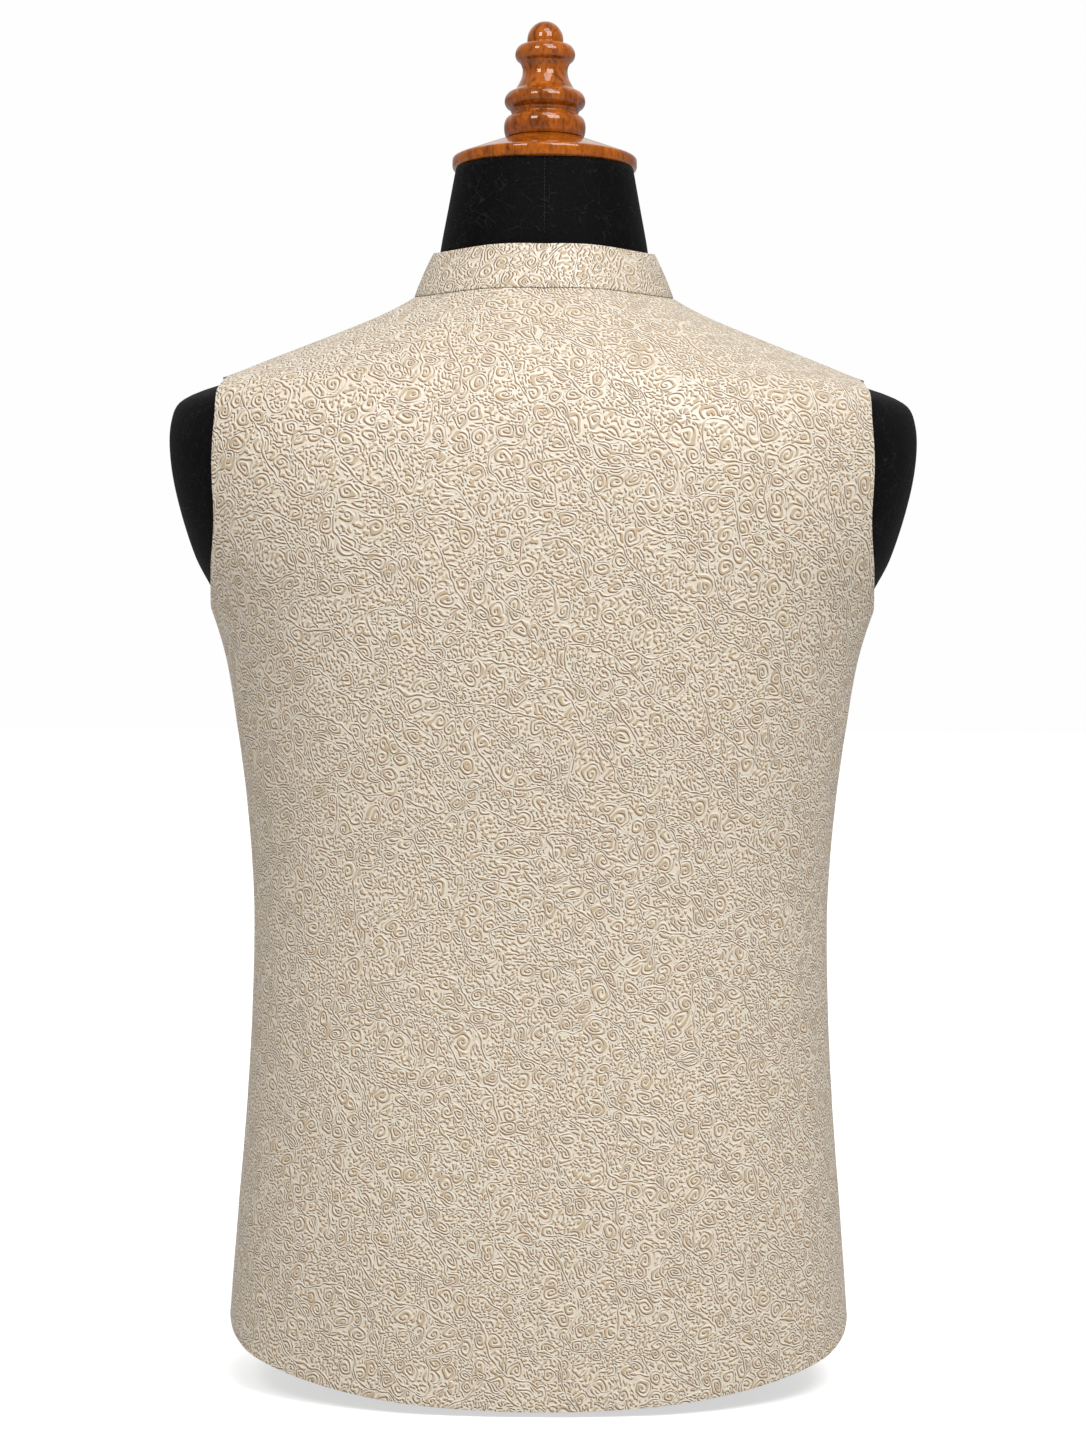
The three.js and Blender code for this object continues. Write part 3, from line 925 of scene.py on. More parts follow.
class Figure:
    """A smooth surface through a table of sections."""

    def __init__(self, sections: Sequence[Section]) -> None:
        """Keeps the table's columns.

        Args:
            sections: The rows, from the lowest up.
        """
        self.z = np.array([s.z for s in sections], float)
        self.columns = {
            name: np.array([getattr(s, name) for s in sections], float)
            for name in ("half_width", "back", "front", "side")
        }

    def size(self, column: str, z: np.ndarray) -> np.ndarray:
        """One column of the table at heights z."""
        return through(self.z, self.columns[column], np.asarray(z, float))

    def point(self, turn: np.ndarray, z: np.ndarray) -> np.ndarray:
        """Points of the surface.

        Args:
            turn: The turn from the centre back, in radians.
            z: The height.

        Returns:
            The points, in millimetres, with x, y and z on the last axis.
        """
        across, along = np.sin(turn), np.cos(turn)
        depth = np.where(along > 0, self.size("back", z), self.size("front", z))
        x = np.sign(across) * self.size("half_width", z) * np.abs(across) ** (2 / PLAN_POWER)
        y = -np.sign(along) * depth * np.abs(along) ** (2 / self.size("side", z))
        return np.stack([x, y, np.broadcast_to(z, x.shape)], -1)

    def normal(self, turn: np.ndarray, z: np.ndarray) -> np.ndarray:
        """The outward directions of the surface, by small steps each way.

        Args:
            turn: The turn from the centre back, in radians.
            z: The height.

        Returns:
            The directions, each of length one.
        """
        step_turn, step_z = 0.02, 1.5
        around = self.point(turn + step_turn, z) - self.point(turn - step_turn, z)
        up = self.point(turn, z + step_z) - self.point(turn, z - step_z)
        out = np.cross(around, up)
        return out / np.linalg.norm(out, axis=-1, keepdims=True)


CLOTH = Figure(CLOTH_SECTIONS)
NECK = Figure(NECK_SECTIONS)


# Meshes


def grid_faces(rows: int, columns: int, first: int = 0,
               closed: bool = False) -> list[tuple[int, ...]]:
    """The quads of a grid of points that is numbered row by row.

    Args:
        rows: How many rows of points.
        columns: How many points in a row.
        first: The number of the first point.
        closed: Whether the last column joins the first.

    Returns:
        The quads, anticlockwise where columns run right and rows run up.
    """
    wide = columns if closed else columns - 1
    faces = []
    for r in range(rows - 1):
        for c in range(wide):
            after = (c + 1) % columns
            low, high = first + r * columns, first + (r + 1) * columns
            faces.append((low + c, low + after, high + after, high + c))
    return faces


def mesh_object(name: str, points: np.ndarray, faces: Iterable[Sequence[int]]) -> bpy.types.Object:
    """Makes an object of points in millimetres.

    Args:
        name: The object's name.
        points: The points, three numbers each.
        faces: The faces, as numbers of points.

    Returns:
        The object, in the scene, at the origin, shaded smooth.
    """
    mesh = bpy.data.meshes.new(name)
    mesh.from_pydata((points.reshape(-1, 3) * MM).tolist(), [], list(faces))
    mesh.update(calc_edges=True)
    mesh.polygons.foreach_set("use_smooth", [True] * len(mesh.polygons))
    piece = bpy.data.objects.new(name, mesh)
    bpy.context.scene.collection.objects.link(piece)
    return piece


def freeze(piece: bpy.types.Object) -> bpy.types.Object:
    """Applies a piece's modifiers to its mesh and removes them.

    Args:
        piece: The piece.

    Returns:
        The same piece.
    """
    bpy.context.view_layer.update()
    evaluated = piece.evaluated_get(bpy.context.evaluated_depsgraph_get())
    mesh = bpy.data.meshes.new_from_object(evaluated)
    piece.modifiers.clear()
    piece.data = mesh
    return piece


def flatten(outer: np.ndarray, flip: bool) -> np.ndarray:
    """Lays a grid of points out flat, as the cutter's draft of the piece.

    Args:
        outer: The points, rows by columns, in millimetres.
        flip: Whether the columns run the other way round, seen from outside.

    Returns:
        The places on the flat cloth, in metres, with the first column upright.
    """
    rows, columns = outer.shape[:2]
    faces = grid_faces(rows, columns)
    if flip:
        faces = [face[::-1] for face in faces]
    draft = mesh_object("draft", outer, faces)
    for other in bpy.context.selected_objects:
        other.select_set(False)
    draft.select_set(True)
    bpy.context.view_layer.objects.active = draft
    bpy.ops.object.mode_set(mode="EDIT")
    bpy.ops.mesh.select_all(action="SELECT")
    bpy.ops.uv.unwrap(method="CONFORMAL", margin=0.0)
    bpy.ops.object.mode_set(mode="OBJECT")
    mesh = draft.data
    corners = np.zeros(len(mesh.loops), int)
    mesh.loops.foreach_get("vertex_index", corners)
    spots = np.zeros(len(mesh.loops) * 2)
    mesh.uv_layers.active.data.foreach_get("uv", spots)
    flat = np.zeros((rows * columns, 2))
    flat[corners] = spots.reshape(-1, 2)
    flat = flat.reshape(rows, columns, 2)
    bpy.data.objects.remove(draft)
    upright = flat[-1, 0] - flat[0, 0]
    lean = QUARTER_TURN - math.atan2(upright[1], upright[0])
    turn = np.array([[math.cos(lean), -math.sin(lean)], [math.sin(lean), math.cos(lean)]])
    flat = (flat - flat[0, 0]) @ turn.T
    return flat * math.sqrt(grid_area(outer) / grid_area(flat)) * MM


def grid_area(points: np.ndarray) -> float:
    """The area of a grid of points.

    Args:
        points: The points, rows by columns, with two or three numbers each.

    Returns:
        The area, in the square of the points' unit.
    """
    if points.shape[-1] == 2:
        points = np.concatenate([points, np.zeros((*points.shape[:2], 1))], -1)
    a, b, c, d = points[:-1, :-1], points[:-1, 1:], points[1:, 1:], points[1:, :-1]
    return float(np.linalg.norm(np.cross(c - a, d - b), axis=-1).sum() / 2)


class Edge(Enum):
    """How a cloth piece ends, as the share of the full rounding that it gets."""

    FOLDED = 1.0
    NECK_SEAM = 0.95
    SEAMED = 0.6


@dataclass
class ClothPiece:
    """A piece of cloth with its own thickness, rounded edges and cut."""

    name: str
    outer: np.ndarray
    normals: np.ndarray
    wall: float
    lay: tuple[float, float]
    flip: bool = False
    bottom: Edge = Edge.FOLDED
    top: Edge = Edge.NECK_SEAM
    first: Sequence[Edge] = ()
    last: Sequence[Edge] = ()
    strip: bool = False
    rounding: float = 0.46
    flat: np.ndarray = field(init=False)

    def build(self, materials: Sequence[bpy.types.Material]) -> bpy.types.Object:
        """Builds the closed shell.

        Args:
            materials: The right side's finish, then the wrong side's.

        Returns:
            The piece, with its map of the cut cloth.
        """
        rows, columns = self.outer.shape[:2]
        count = rows * columns
        inner = self.outer - self.normals * self.wall
        self.flat = flatten(self.outer, self.flip)
        right_side = grid_faces(rows, columns)
        wrong_side = [face[::-1] for face in grid_faces(rows, columns, count)]
        faces = right_side + self._rim(rows, columns) + wrong_side
        if self.flip:
            faces = [face[::-1] for face in faces]
        piece = mesh_object(self.name, np.stack([self.outer, inner]), faces)
        mesh = piece.data
        for material in materials:
            mesh.materials.append(material)
        reverse = len(materials) - 1
        slots = [0] * (len(faces) - len(wrong_side)) + [reverse] * len(wrong_side)
        mesh.polygons.foreach_set("material_index", slots)
        self._map(mesh, count)
        self._round(piece, rows, columns)
        return freeze(piece)

    def cut_size(self) -> tuple[float, float, float]:
        """The width, length and area of the flat piece, in metres.

        Returns:
            The sizes, measured along the strip's curve where the piece is a strip.
        """
        area = grid_area(self.flat)
        if self.strip:
            steps = np.diff((self.flat[0] + self.flat[-1]) / 2, axis=0)
            length = float(np.linalg.norm(steps, axis=-1).sum())
            return area / length, length, area
        span = self.flat.reshape(-1, 2).max(0) - self.flat.reshape(-1, 2).min(0)
        return float(span[0]), float(span[1]), area

    def _rim(self, rows: int, columns: int) -> list[tuple[int, ...]]:
        """The quads that close the shell's four sides.

        Args:
            rows: How many rows of points one side has.
            columns: How many points are in a row.

        Returns:
            The quads, which join the outer points to the inner ones.
        """
        count = rows * columns
        low = list(range(columns))
        high = list(range(count - columns, count))
        near = list(range(0, count, columns))
        far = list(range(columns - 1, count, columns))
        faces = []
        for side in (low, high[::-1], near[::-1], far):
            faces += [(a, a + count, b + count, b) for a, b in zip(side, side[1:])]
        return faces

    def _map(self, mesh: bpy.types.Mesh, count: int) -> None:
        """Writes the places on the cut cloth to the mesh's own map.

        Args:
            mesh: The shell's mesh.
            count: How many points one side has.
        """
        layer = mesh.uv_layers.new(name=CUT_MAP)
        corners = np.zeros(len(mesh.loops), int)
        mesh.loops.foreach_get("vertex_index", corners)
        spots = self.flat.reshape(-1, 2)[corners % count] + np.array(self.lay)
        layer.data.foreach_set("uv", spots.ravel())

    def _round(self, piece: bpy.types.Object, rows: int, columns: int) -> None:
        """Rounds the shell's edges, fully where folded and less where seamed.

        Args:
            piece: The shell.
            rows: How many rows of points one side has.
            columns: How many points are in a row.
        """
        weight = np.zeros((rows, columns))
        weight[0], weight[-1] = self.bottom.value, self.top.value
        sides = [(0, self.first or [Edge.FOLDED] * rows), (-1, self.last or [Edge.FOLDED] * rows)]
        for column, edges in sides:
            weight[:, column] = np.maximum(weight[:, column], [e.value for e in edges])
        weight = weight.ravel()
        border = np.zeros((rows, columns), bool)
        border[[0, -1]] = True
        border[:, [0, -1]] = True
        border = border.ravel()
        mesh = piece.data
        attribute = mesh.attributes.new("bevel_weight_edge", "FLOAT", "EDGE")
        count = rows * columns
        for edge, value in zip(mesh.edges, attribute.data):
            a, b = edge.vertices
            if (a < count) != (b < count) or not self._beside(a, b, columns):
                continue
            if border[a % count] and border[b % count]:
                value.value = min(weight[a % count], weight[b % count])
        bevel = piece.modifiers.new("edges", "BEVEL")
        bevel.limit_method = "WEIGHT"
        bevel.width = self.wall * self.rounding * MM
        bevel.segments = 3

    @staticmethod
    def _beside(a: int, b: int, columns: int) -> bool:
        """Whether two border points follow each other along the border."""
        return abs(a - b) in (1, columns)


def rest(piece: bpy.types.Object, slot: str, *nodes: str) -> bpy.types.Object:
    """Attaches a finished piece to its body and hides the solids that it stands for.

    Args:
        piece: The piece.
        slot: Not used.
        *nodes: The solids that it replaces.

    Returns:
        The same piece.
    """
    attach(piece, BODY)
    if nodes:
        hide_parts(*nodes)
    log.info("%s: %d faces", piece.name, len(piece.data.polygons))
    return piece


# Stitches


class StitchLay(Enum):
    """Which of a stitch's own axes follows the row."""

    ALONG = "X"
    ACROSS = "Y"


@dataclass(frozen=True)
class StitchRow:
    """A row of stitches along a line on the cloth, in metres."""

    lay: StitchLay
    pitch: float
    length: float
    radius: float
    facets: int = 6

    def tree(self) -> bpy.types.NodeTree:
        """Builds the tree that sets a stitch at each pitch of the line.

        Returns:
            A tree with the inputs Pitch, Length, Radius and Thread.
        """
        tree = bpy.data.node_groups.new(f"stitches {self.lay.name.lower()}", "GeometryNodeTree")
        face = tree.interface
        face.new_socket("Geometry", in_out="INPUT", socket_type="NodeSocketGeometry")
        for name in ("Pitch", "Length", "Radius"):
            face.new_socket(name, in_out="INPUT", socket_type="NodeSocketFloat")
        face.new_socket("Thread", in_out="INPUT", socket_type="NodeSocketMaterial")
        face.new_socket("Geometry", in_out="OUTPUT", socket_type="NodeSocketGeometry")
        nodes, links = tree.nodes, tree.links
        given = nodes.new("NodeGroupInput")
        curve = nodes.new("GeometryNodeMeshToCurve")
        links.new(given.outputs["Geometry"], curve.inputs["Mesh"])
        points = nodes.new("GeometryNodeResampleCurve")
        points.mode = "LENGTH"
        links.new(curve.outputs["Curve"], points.inputs["Curve"])
        links.new(given.outputs["Pitch"], points.inputs["Length"])
        stitch = self._stitch(tree, given)
        place = nodes.new("GeometryNodeInstanceOnPoints")
        links.new(points.outputs["Curve"], place.inputs["Points"])
        links.new(stitch, place.inputs["Instance"])
        links.new(self._heading(tree), place.inputs["Rotation"])
        real = nodes.new("GeometryNodeRealizeInstances")
        links.new(place.outputs["Instances"], real.inputs["Geometry"])
        paint = nodes.new("GeometryNodeSetMaterial")
        links.new(real.outputs["Geometry"], paint.inputs["Geometry"])
        links.new(given.outputs["Thread"], paint.inputs["Material"])
        result = nodes.new("NodeGroupOutput")
        links.new(paint.outputs["Geometry"], result.inputs["Geometry"])
        return tree

    def _stitch(self, tree: bpy.types.NodeTree, given: bpy.types.Node) -> bpy.types.NodeSocket:
        """One stitch, a small rounded bar along X.

        Args:
            tree: The tree to build it in.
            given: The tree's input node.

        Returns:
            The socket that carries the stitch.
        """
        ball = tree.nodes.new("GeometryNodeMeshUVSphere")
        ball.inputs["Segments"].default_value = self.facets
        ball.inputs["Rings"].default_value = self.facets - 1
        ball.inputs["Radius"].default_value = 1.0
        size = tree.nodes.new("ShaderNodeCombineXYZ")
        half = tree.nodes.new("ShaderNodeMath")
        half.operation = "DIVIDE"
        half.inputs[1].default_value = 2.0
        tree.links.new(given.outputs["Length"], half.inputs[0])
        tree.links.new(half.outputs[0], size.inputs["X"])
        for axis in "YZ":
            tree.links.new(given.outputs["Radius"], size.inputs[axis])
        shape = tree.nodes.new("GeometryNodeTransform")
        tree.links.new(ball.outputs["Mesh"], shape.inputs["Geometry"])
        tree.links.new(size.outputs[0], shape.inputs["Scale"])
        return shape.outputs["Geometry"]

    def _heading(self, tree: bpy.types.NodeTree) -> bpy.types.NodeSocket:
        """The stitches' rotation: Z off the cloth, and X or Y along the row.

        Args:
            tree: The tree to build it in.

        Returns:
            The socket that carries the rotation.
        """
        out = tree.nodes.new("GeometryNodeInputNamedAttribute")
        out.data_type = "FLOAT_VECTOR"
        out.inputs["Name"].default_value = "off_cloth"
        stand = tree.nodes.new("FunctionNodeAlignRotationToVector")
        stand.axis = "Z"
        tree.links.new(out.outputs["Attribute"], stand.inputs["Vector"])
        tangent = tree.nodes.new("GeometryNodeInputTangent")
        head = tree.nodes.new("FunctionNodeAlignRotationToVector")
        head.axis = self.lay.value
        head.pivot_axis = "Z"
        tree.links.new(stand.outputs["Rotation"], head.inputs["Rotation"])
        tree.links.new(tangent.outputs["Tangent"], head.inputs["Vector"])
        return head.outputs["Rotation"]

    def sew(self, name: str, lines: Sequence[tuple[np.ndarray, np.ndarray]],
            thread: bpy.types.Material) -> bpy.types.Object:
        """Sews one piece of stitches along some lines.

        Args:
            name: The piece's name.
            lines: Each line's points in millimetres and the directions off the cloth.
            thread: The thread's finish.

        Returns:
            The stitches as a plain mesh.
        """
        points = np.concatenate([line for line, _ in lines])
        outward = np.concatenate([off for _, off in lines])
        mesh = bpy.data.meshes.new(name)
        edges, start = [], 0
        for line, _ in lines:
            edges += [(start + i, start + i + 1) for i in range(len(line) - 1)]
            start += len(line)
        mesh.from_pydata((points * MM).tolist(), edges, [])
        off = mesh.attributes.new("off_cloth", "FLOAT_VECTOR", "POINT")
        off.data.foreach_set("vector", outward.ravel())
        piece = bpy.data.objects.new(name, mesh)
        bpy.context.scene.collection.objects.link(piece)
        modifier = piece.modifiers.new("stitches", "NODES")
        tree = self.tree()
        modifier.node_group = tree
        values = {"Pitch": self.pitch, "Length": self.length, "Radius": self.radius,
                  "Thread": thread}
        for item in tree.interface.items_tree:
            if item.in_out == "INPUT" and item.name in values:
                modifier[item.identifier] = values[item.name]
        freeze(piece)
        if not piece.data.materials:
            piece.data.materials.append(thread)
        piece.data.polygons.foreach_set("use_smooth", [True] * len(piece.data.polygons))
        return piece


# The waistcoat


@dataclass(frozen=True)
class Lap:
    """The front's overlap about the centre front, in millimetres."""

    over: float = 18
    under: float = 15
    step_from: float = 44
    step_to: float = 21
    corner: float = 9
    gap: float = 0.7
    over_columns: int = 12
    under_columns: int = 22


@dataclass(frozen=True)
class Pucker:
    """How the cloth draws up along a seam, in millimetres."""

    radian: float = 130
    wave: float = 0.16
    wave_reach: float = 7
    wave_length: float = 5.3
    wander: float = 31
    dip: float = 0.5
    dip_reach: float = 3.2

    def offset(self, away: np.ndarray, z: np.ndarray) -> np.ndarray:
        """The offset of the cloth beside a seam that runs up the piece.

        Args:
            away: The turn from the seam, in radians.
            z: The height.

        Returns:
            The offset outwards.
        """
        away = np.abs(away) * self.radian
        wave = np.sin(z / self.wave_length + 2 * np.sin(z / self.wander))
        return (self.wave * np.exp(-((away / self.wave_reach) ** 2)) * wave
                - self.dip * np.exp(-((away / self.dip_reach) ** 2)))


@dataclass(frozen=True)
class WaistcoatDraft:
    """The waistcoat's lines on the figure, in millimetres."""

    wall: float = 1.8
    hem_back_z: float = 3.5
    hem_side_z: float = 41.2
    hem_front_z: float = 17
    underarm_z: float = 474
    shoulder_tip_z: float = 620
    neck_side_z: float = 671
    neck_half_width: float = 80.9
    neck_back: float = 72
    neck_front: float = 80
    armhole_back: float = 73
    armhole_front: float = 78
    armhole_upper: float = 3.4
    armhole_lower: float = 2.1
    flute_top: float = 330
    lap: Lap = Lap()
    pucker: Pucker = Pucker()
    columns: int = 78
    body_rows: int = 96
    armhole_rows: int = 44
    shoulder_rows: int = 26

    def neckline_z(self, turn: np.ndarray) -> np.ndarray:
        """The neckline's height, found by halving.

        Args:
            turn: The turns from the centre back.

        Returns:
            The height at each turn.
        """
        halvings = 40
        low = np.full(np.shape(turn), self.underarm_z, float)
        high = np.full(np.shape(turn), CLOTH_SECTIONS[-1].z, float)
        for _ in range(halvings):
            z = (low + high) / 2
            point = CLOTH.point(turn, z)
            depth = np.where(point[..., 1] < 0, self.neck_back, self.neck_front)
            outside = np.hypot(point[..., 0] / self.neck_half_width, point[..., 1] / depth) > 1
            low, high = np.where(outside, z, low), np.where(outside, high, z)
        return low

    def hem_z(self, turn: np.ndarray) -> np.ndarray:
        """The hem's height, lowest at the centre back and front.

        Args:
            turn: The turns from the centre back.

        Returns:
            The height at each turn.
        """
        across = np.abs(np.sin(turn)) ** (2 / PLAN_POWER)
        dip = np.sqrt(np.maximum(0, 1 - across * across))
        middle = np.where(np.cos(turn) > 0, self.hem_back_z, self.hem_front_z)
        return self.hem_side_z - (self.hem_side_z - middle) * dip

    def rows(self) -> tuple[np.ndarray, np.ndarray]:
        """The rows of a panel.

        Returns:
            For each row, its share of the side seam and its level above the underarm.
        """
        body = np.arange(self.body_rows) / self.body_rows
        below = np.cos(math.pi * np.arange(self.armhole_rows) / self.armhole_rows)
        power = np.where(below < 0, self.armhole_upper, self.armhole_lower)
        climb = (1 - np.sign(below) * np.abs(below) ** (2 / power)) / 2
        armhole = self.underarm_z + (self.shoulder_tip_z - self.underarm_z) * climb
        shoulder = np.linspace(self.shoulder_tip_z, self.neck_side_z, self.shoulder_rows + 1)
        share = np.concatenate([body, np.ones(len(armhole) + len(shoulder))])
        level = np.concatenate([np.full(len(body), self.underarm_z), armhole, shoulder])
        return share, level

    def row_z(self, turn: np.ndarray, drop: np.ndarray = 0.0) -> np.ndarray:
        """The height of each row where it crosses a turn.

        Args:
            turn: The turns, with rows on the first axis.
            drop: How far the top is cut down there.

        Returns:
            The heights.
        """
        share, level = (a.reshape(-1, *[1] * (np.ndim(turn) - 1)) for a in self.rows())
        rise = self.neckline_z(turn) - drop - self.underarm_z
        stretch = rise / (self.neck_side_z - self.underarm_z)
        hem = self.hem_z(turn)
        return hem + (self.underarm_z - hem) * share + (level - self.underarm_z) * stretch

    def side_turn(self, front: bool) -> np.ndarray:
        """Where each row ends at the side: at the side seam, armhole or shoulder seam.

        Args:
            front: Whether the panel is a front.

        Returns:
            The turns.
        """
        share, level = self.rows()
        middle = (self.underarm_z + self.shoulder_tip_z) / 2
        half = (self.shoulder_tip_z - self.underarm_z) / 2
        off = np.minimum(1, np.abs(level - middle) / half)
        power = np.where(level > middle, self.armhole_upper, self.armhole_lower)
        reach = self.armhole_front if front else self.armhole_back
        reach = reach * (1 - off**power) ** (1 / power)
        depth = CLOTH.size("front" if front else "back", level)
        turn = np.arccos((reach / depth) ** (CLOTH.size("side", level) / 2))
        turn = np.where(self.at_armhole(), turn, QUARTER_TURN)
        return math.pi - turn if front else turn

    def at_armhole(self) -> np.ndarray:
        """Which rows end at the armhole."""
        share, level = self.rows()
        return (share == 1) & (level > self.underarm_z) & (level < self.shoulder_tip_z)

    def front_turn(self, x: np.ndarray, z: np.ndarray) -> np.ndarray:
        """The turn at which the front crosses x, either side of the centre."""
        share = np.abs(x) / CLOTH.size("half_width", z)
        return math.pi - np.sign(x) * np.arcsin(share ** (PLAN_POWER / 2))

    def relief(self, turn: np.ndarray, z: np.ndarray) -> np.ndarray:
        """How far the cloth stands off its smooth figure: soft flutes and seam pucker.

        Args:
            turn: The turn from the centre back.
            z: The height.

        Returns:
            The offset outwards, in millimetres.
        """
        low = np.clip(1 - z / self.flute_top, 0, 1) ** 1.5
        flutes = 0.0
        for place, width, depth, lean in HEM_FLUTES:
            away = (turn - place - lean * z / 1000) / width
            flutes = flutes + depth * np.exp(-away * away)
        drag = 0.0
        for place, height, width, tall, depth in DRAG_LINES:
            away = ((turn - place) / width) ** 2 + ((z - height) / tall) ** 2
            drag = drag + depth * np.exp(-away)
        centre_back, side = (self.pucker.offset(turn - seam, z) for seam in (0.0, QUARTER_TURN))
        return flutes * low + drag + centre_back + side


# Soft flutes at the hem: the turn and half width in radians, the depth in millimetres, and
# the lean in radians for each metre up.
HEM_FLUTES = (
    (0.34, 0.11, 0.9, 0.10), (0.72, 0.15, -1.1, -0.16), (1.08, 0.10, 1.2, 0.12),
    (1.42, 0.12, -0.9, -0.10), (1.83, 0.13, 1.1, 0.14), (2.22, 0.12, -0.9, -0.12),
    (2.66, 0.16, 1.0, 0.06),
)
# Broad soft hollows and swells: the turn in radians and the height in millimetres of the
# middle, the reach across and up in the same units, and the depth in millimetres.
DRAG_LINES = (
    (0.55, 560, 0.30, 46, 0.9), (1.02, 430, 0.16, 60, -1.0), (1.30, 330, 0.2, 55, -0.8),
    (0.30, 300, 0.35, 80, -0.9), (2.05, 420, 0.18, 60, -1.0), (2.5, 300, 0.3, 80, -0.8),
)


@dataclass
class Waistcoat:
    """The back, fronts and band collar."""

    draft: WaistcoatDraft
    brocade: bpy.types.Material
    reverse: bpy.types.Material
    thread: bpy.types.Material
    collar_gap: float = 0.3
    collar_height: float = 30.3
    collar_swell: float = 0.55
    collar_columns: int = 70
    collar_rows: int = 12
    collar_lean: tuple[float, float, float] = (20.0, 23.4, 19.0)
    collar_split: float = 1.2
    collar_corner: tuple[float, float] = (16.0, 9.6)
    collar_lay: tuple[float, float] = (3.6, 0.2)
    thread_points: int = 321
    thread_sunk: float = 0.12

    def build(self) -> None:
        pieces = [
            self._back("back_right", 1, (0.0, 0.0)),
            self._back("back_left", -1, (0.9, 0.13)),
            self._front("front_right", 1, (1.7, 0.31)),
            self._front("front_left", -1, (2.6, 0.07)),
            self._collar(),
        ]
        for cloth in pieces:
            materials = [self.brocade, self.reverse]
            if cloth.name == "collar":
                materials = [self.brocade]
            piece = cloth.build(materials)
            piece.name = f"{cloth.name}_cloth"
            rest(piece, "brocade", cloth.name)
            width, length, area = cloth.cut_size()
            log.info("%s is cut from %.3f by %.3f m, %.4f m2", cloth.name, width, length, area)
        # Tan stitches along the collar seam, dark enough to serve also as painted shade for the
        # seam's groove.
        row = StitchRow(StitchLay.ALONG, pitch=2.3 * MM, length=1.8 * MM, radius=0.2 * MM)
        rest(row.sew("neck_seam_thread", [self._neck_seam()], self.thread), "brocade")

    def _neck_seam(self) -> tuple[np.ndarray, np.ndarray]:
        """The line where the collar meets the neck, and the directions off it.

        Returns:
            The line's points and the directions.
        """
        end = math.pi - self.collar_split / self.draft.neck_half_width
        turn = np.linspace(-end, end, self.thread_points)
        z = self.draft.neckline_z(np.abs(turn))
        normal = CLOTH.normal(turn, z)
        return CLOTH.point(turn, z) - normal * self.thread_sunk, normal

    def _edges(self) -> list[Edge]:
        """The side edges of a panel, row by row: folded at the armhole, seamed elsewhere."""
        return [Edge.FOLDED if hole else Edge.SEAMED for hole in self.draft.at_armhole()]

    def _panel(self, turn: np.ndarray, z: np.ndarray, sunk: np.ndarray, side: int) -> tuple:
        """The points and directions of a panel's right side.

        Args:
            turn: The turns of its grid.
            z: The heights of its grid.
            sunk: How deep it lies under the figure's surface.
            side: 1 for the wearer's right, -1 for the left.

        Returns:
            The points and the directions off the cloth.
        """
        normals = CLOTH.normal(turn, z)
        lift = self.draft.relief(turn, z) - sunk
        outer = CLOTH.point(turn, z) + normals * lift[..., None]
        mirror = np.array([side, 1, 1])
        return outer * mirror, normals * mirror

    def _back(self, name: str, side: int, lay: tuple[float, float]) -> ClothPiece:
        """One half of the back.

        Args:
            name: The half's name.
            side: 1 for the wearer's right, -1 for the left.
            lay: Where it lies on the cloth that it is cut from, in metres.

        Returns:
            The half.
        """
        share = np.linspace(0, 1, self.draft.columns + 1)
        turn = self.draft.side_turn(False)[:, None] * share
        z = self.draft.row_z(turn)
        outer, normals = self._panel(turn, z, np.zeros_like(z), side)
        seam = [Edge.SEAMED] * len(turn)
        return ClothPiece(name, outer, normals, self.draft.wall, lay, side < 0,
                          first=seam, last=self._edges())

    def _front(self, name: str, side: int, lay: tuple[float, float]) -> ClothPiece:
        """One front: the left laps over the right, which steps down under it.

        Args:
            name: The front's name.
            side: 1 for the wearer's right, -1 for the left.
            lay: Where it lies on the cloth that it is cut from, in metres.

        Returns:
            The front.
        """
        lap = self.draft.lap
        upper = side < 0
        start = self.draft.side_turn(True)
        centre = np.full(len(start), math.pi)
        middle_z = self.draft.row_z(centre)
        end_x = -lap.over if upper else -lap.under
        main_x = 0.0 if upper else lap.step_from
        extra = lap.over_columns if upper else lap.under_columns
        main = self.draft.columns - extra
        share = np.linspace(0, 1, main + 1)
        main_end = centre if upper else self.draft.front_turn(main_x, middle_z)
        turn = start[:, None] + (main_end - start)[:, None] * share
        x = np.linspace(main_x, end_x, extra + 1)[1:]
        rest_turn = self.draft.front_turn(x[None, :], middle_z[:, None])
        turn = np.concatenate([turn, rest_turn], 1)
        all_x = np.concatenate([np.full(main + 1, main_x), x])
        if upper:
            drop = lap.corner * np.clip(-all_x / lap.over, 0, 1) ** 2
            sunk = np.zeros_like(all_x)
        else:
            drop = np.zeros_like(all_x)
            step = np.clip((lap.step_from - all_x) / (lap.step_from - lap.step_to), 0, 1)
            sunk = (self.draft.wall + lap.gap) * step * step * (3 - 2 * step)
        z = self.draft.row_z(turn, np.broadcast_to(drop, turn.shape))
        outer, normals = self._panel(turn, z, np.broadcast_to(sunk, turn.shape), side)
        return ClothPiece(name, outer, normals, self.draft.wall, lay, side < 0,
                          first=self._edges())

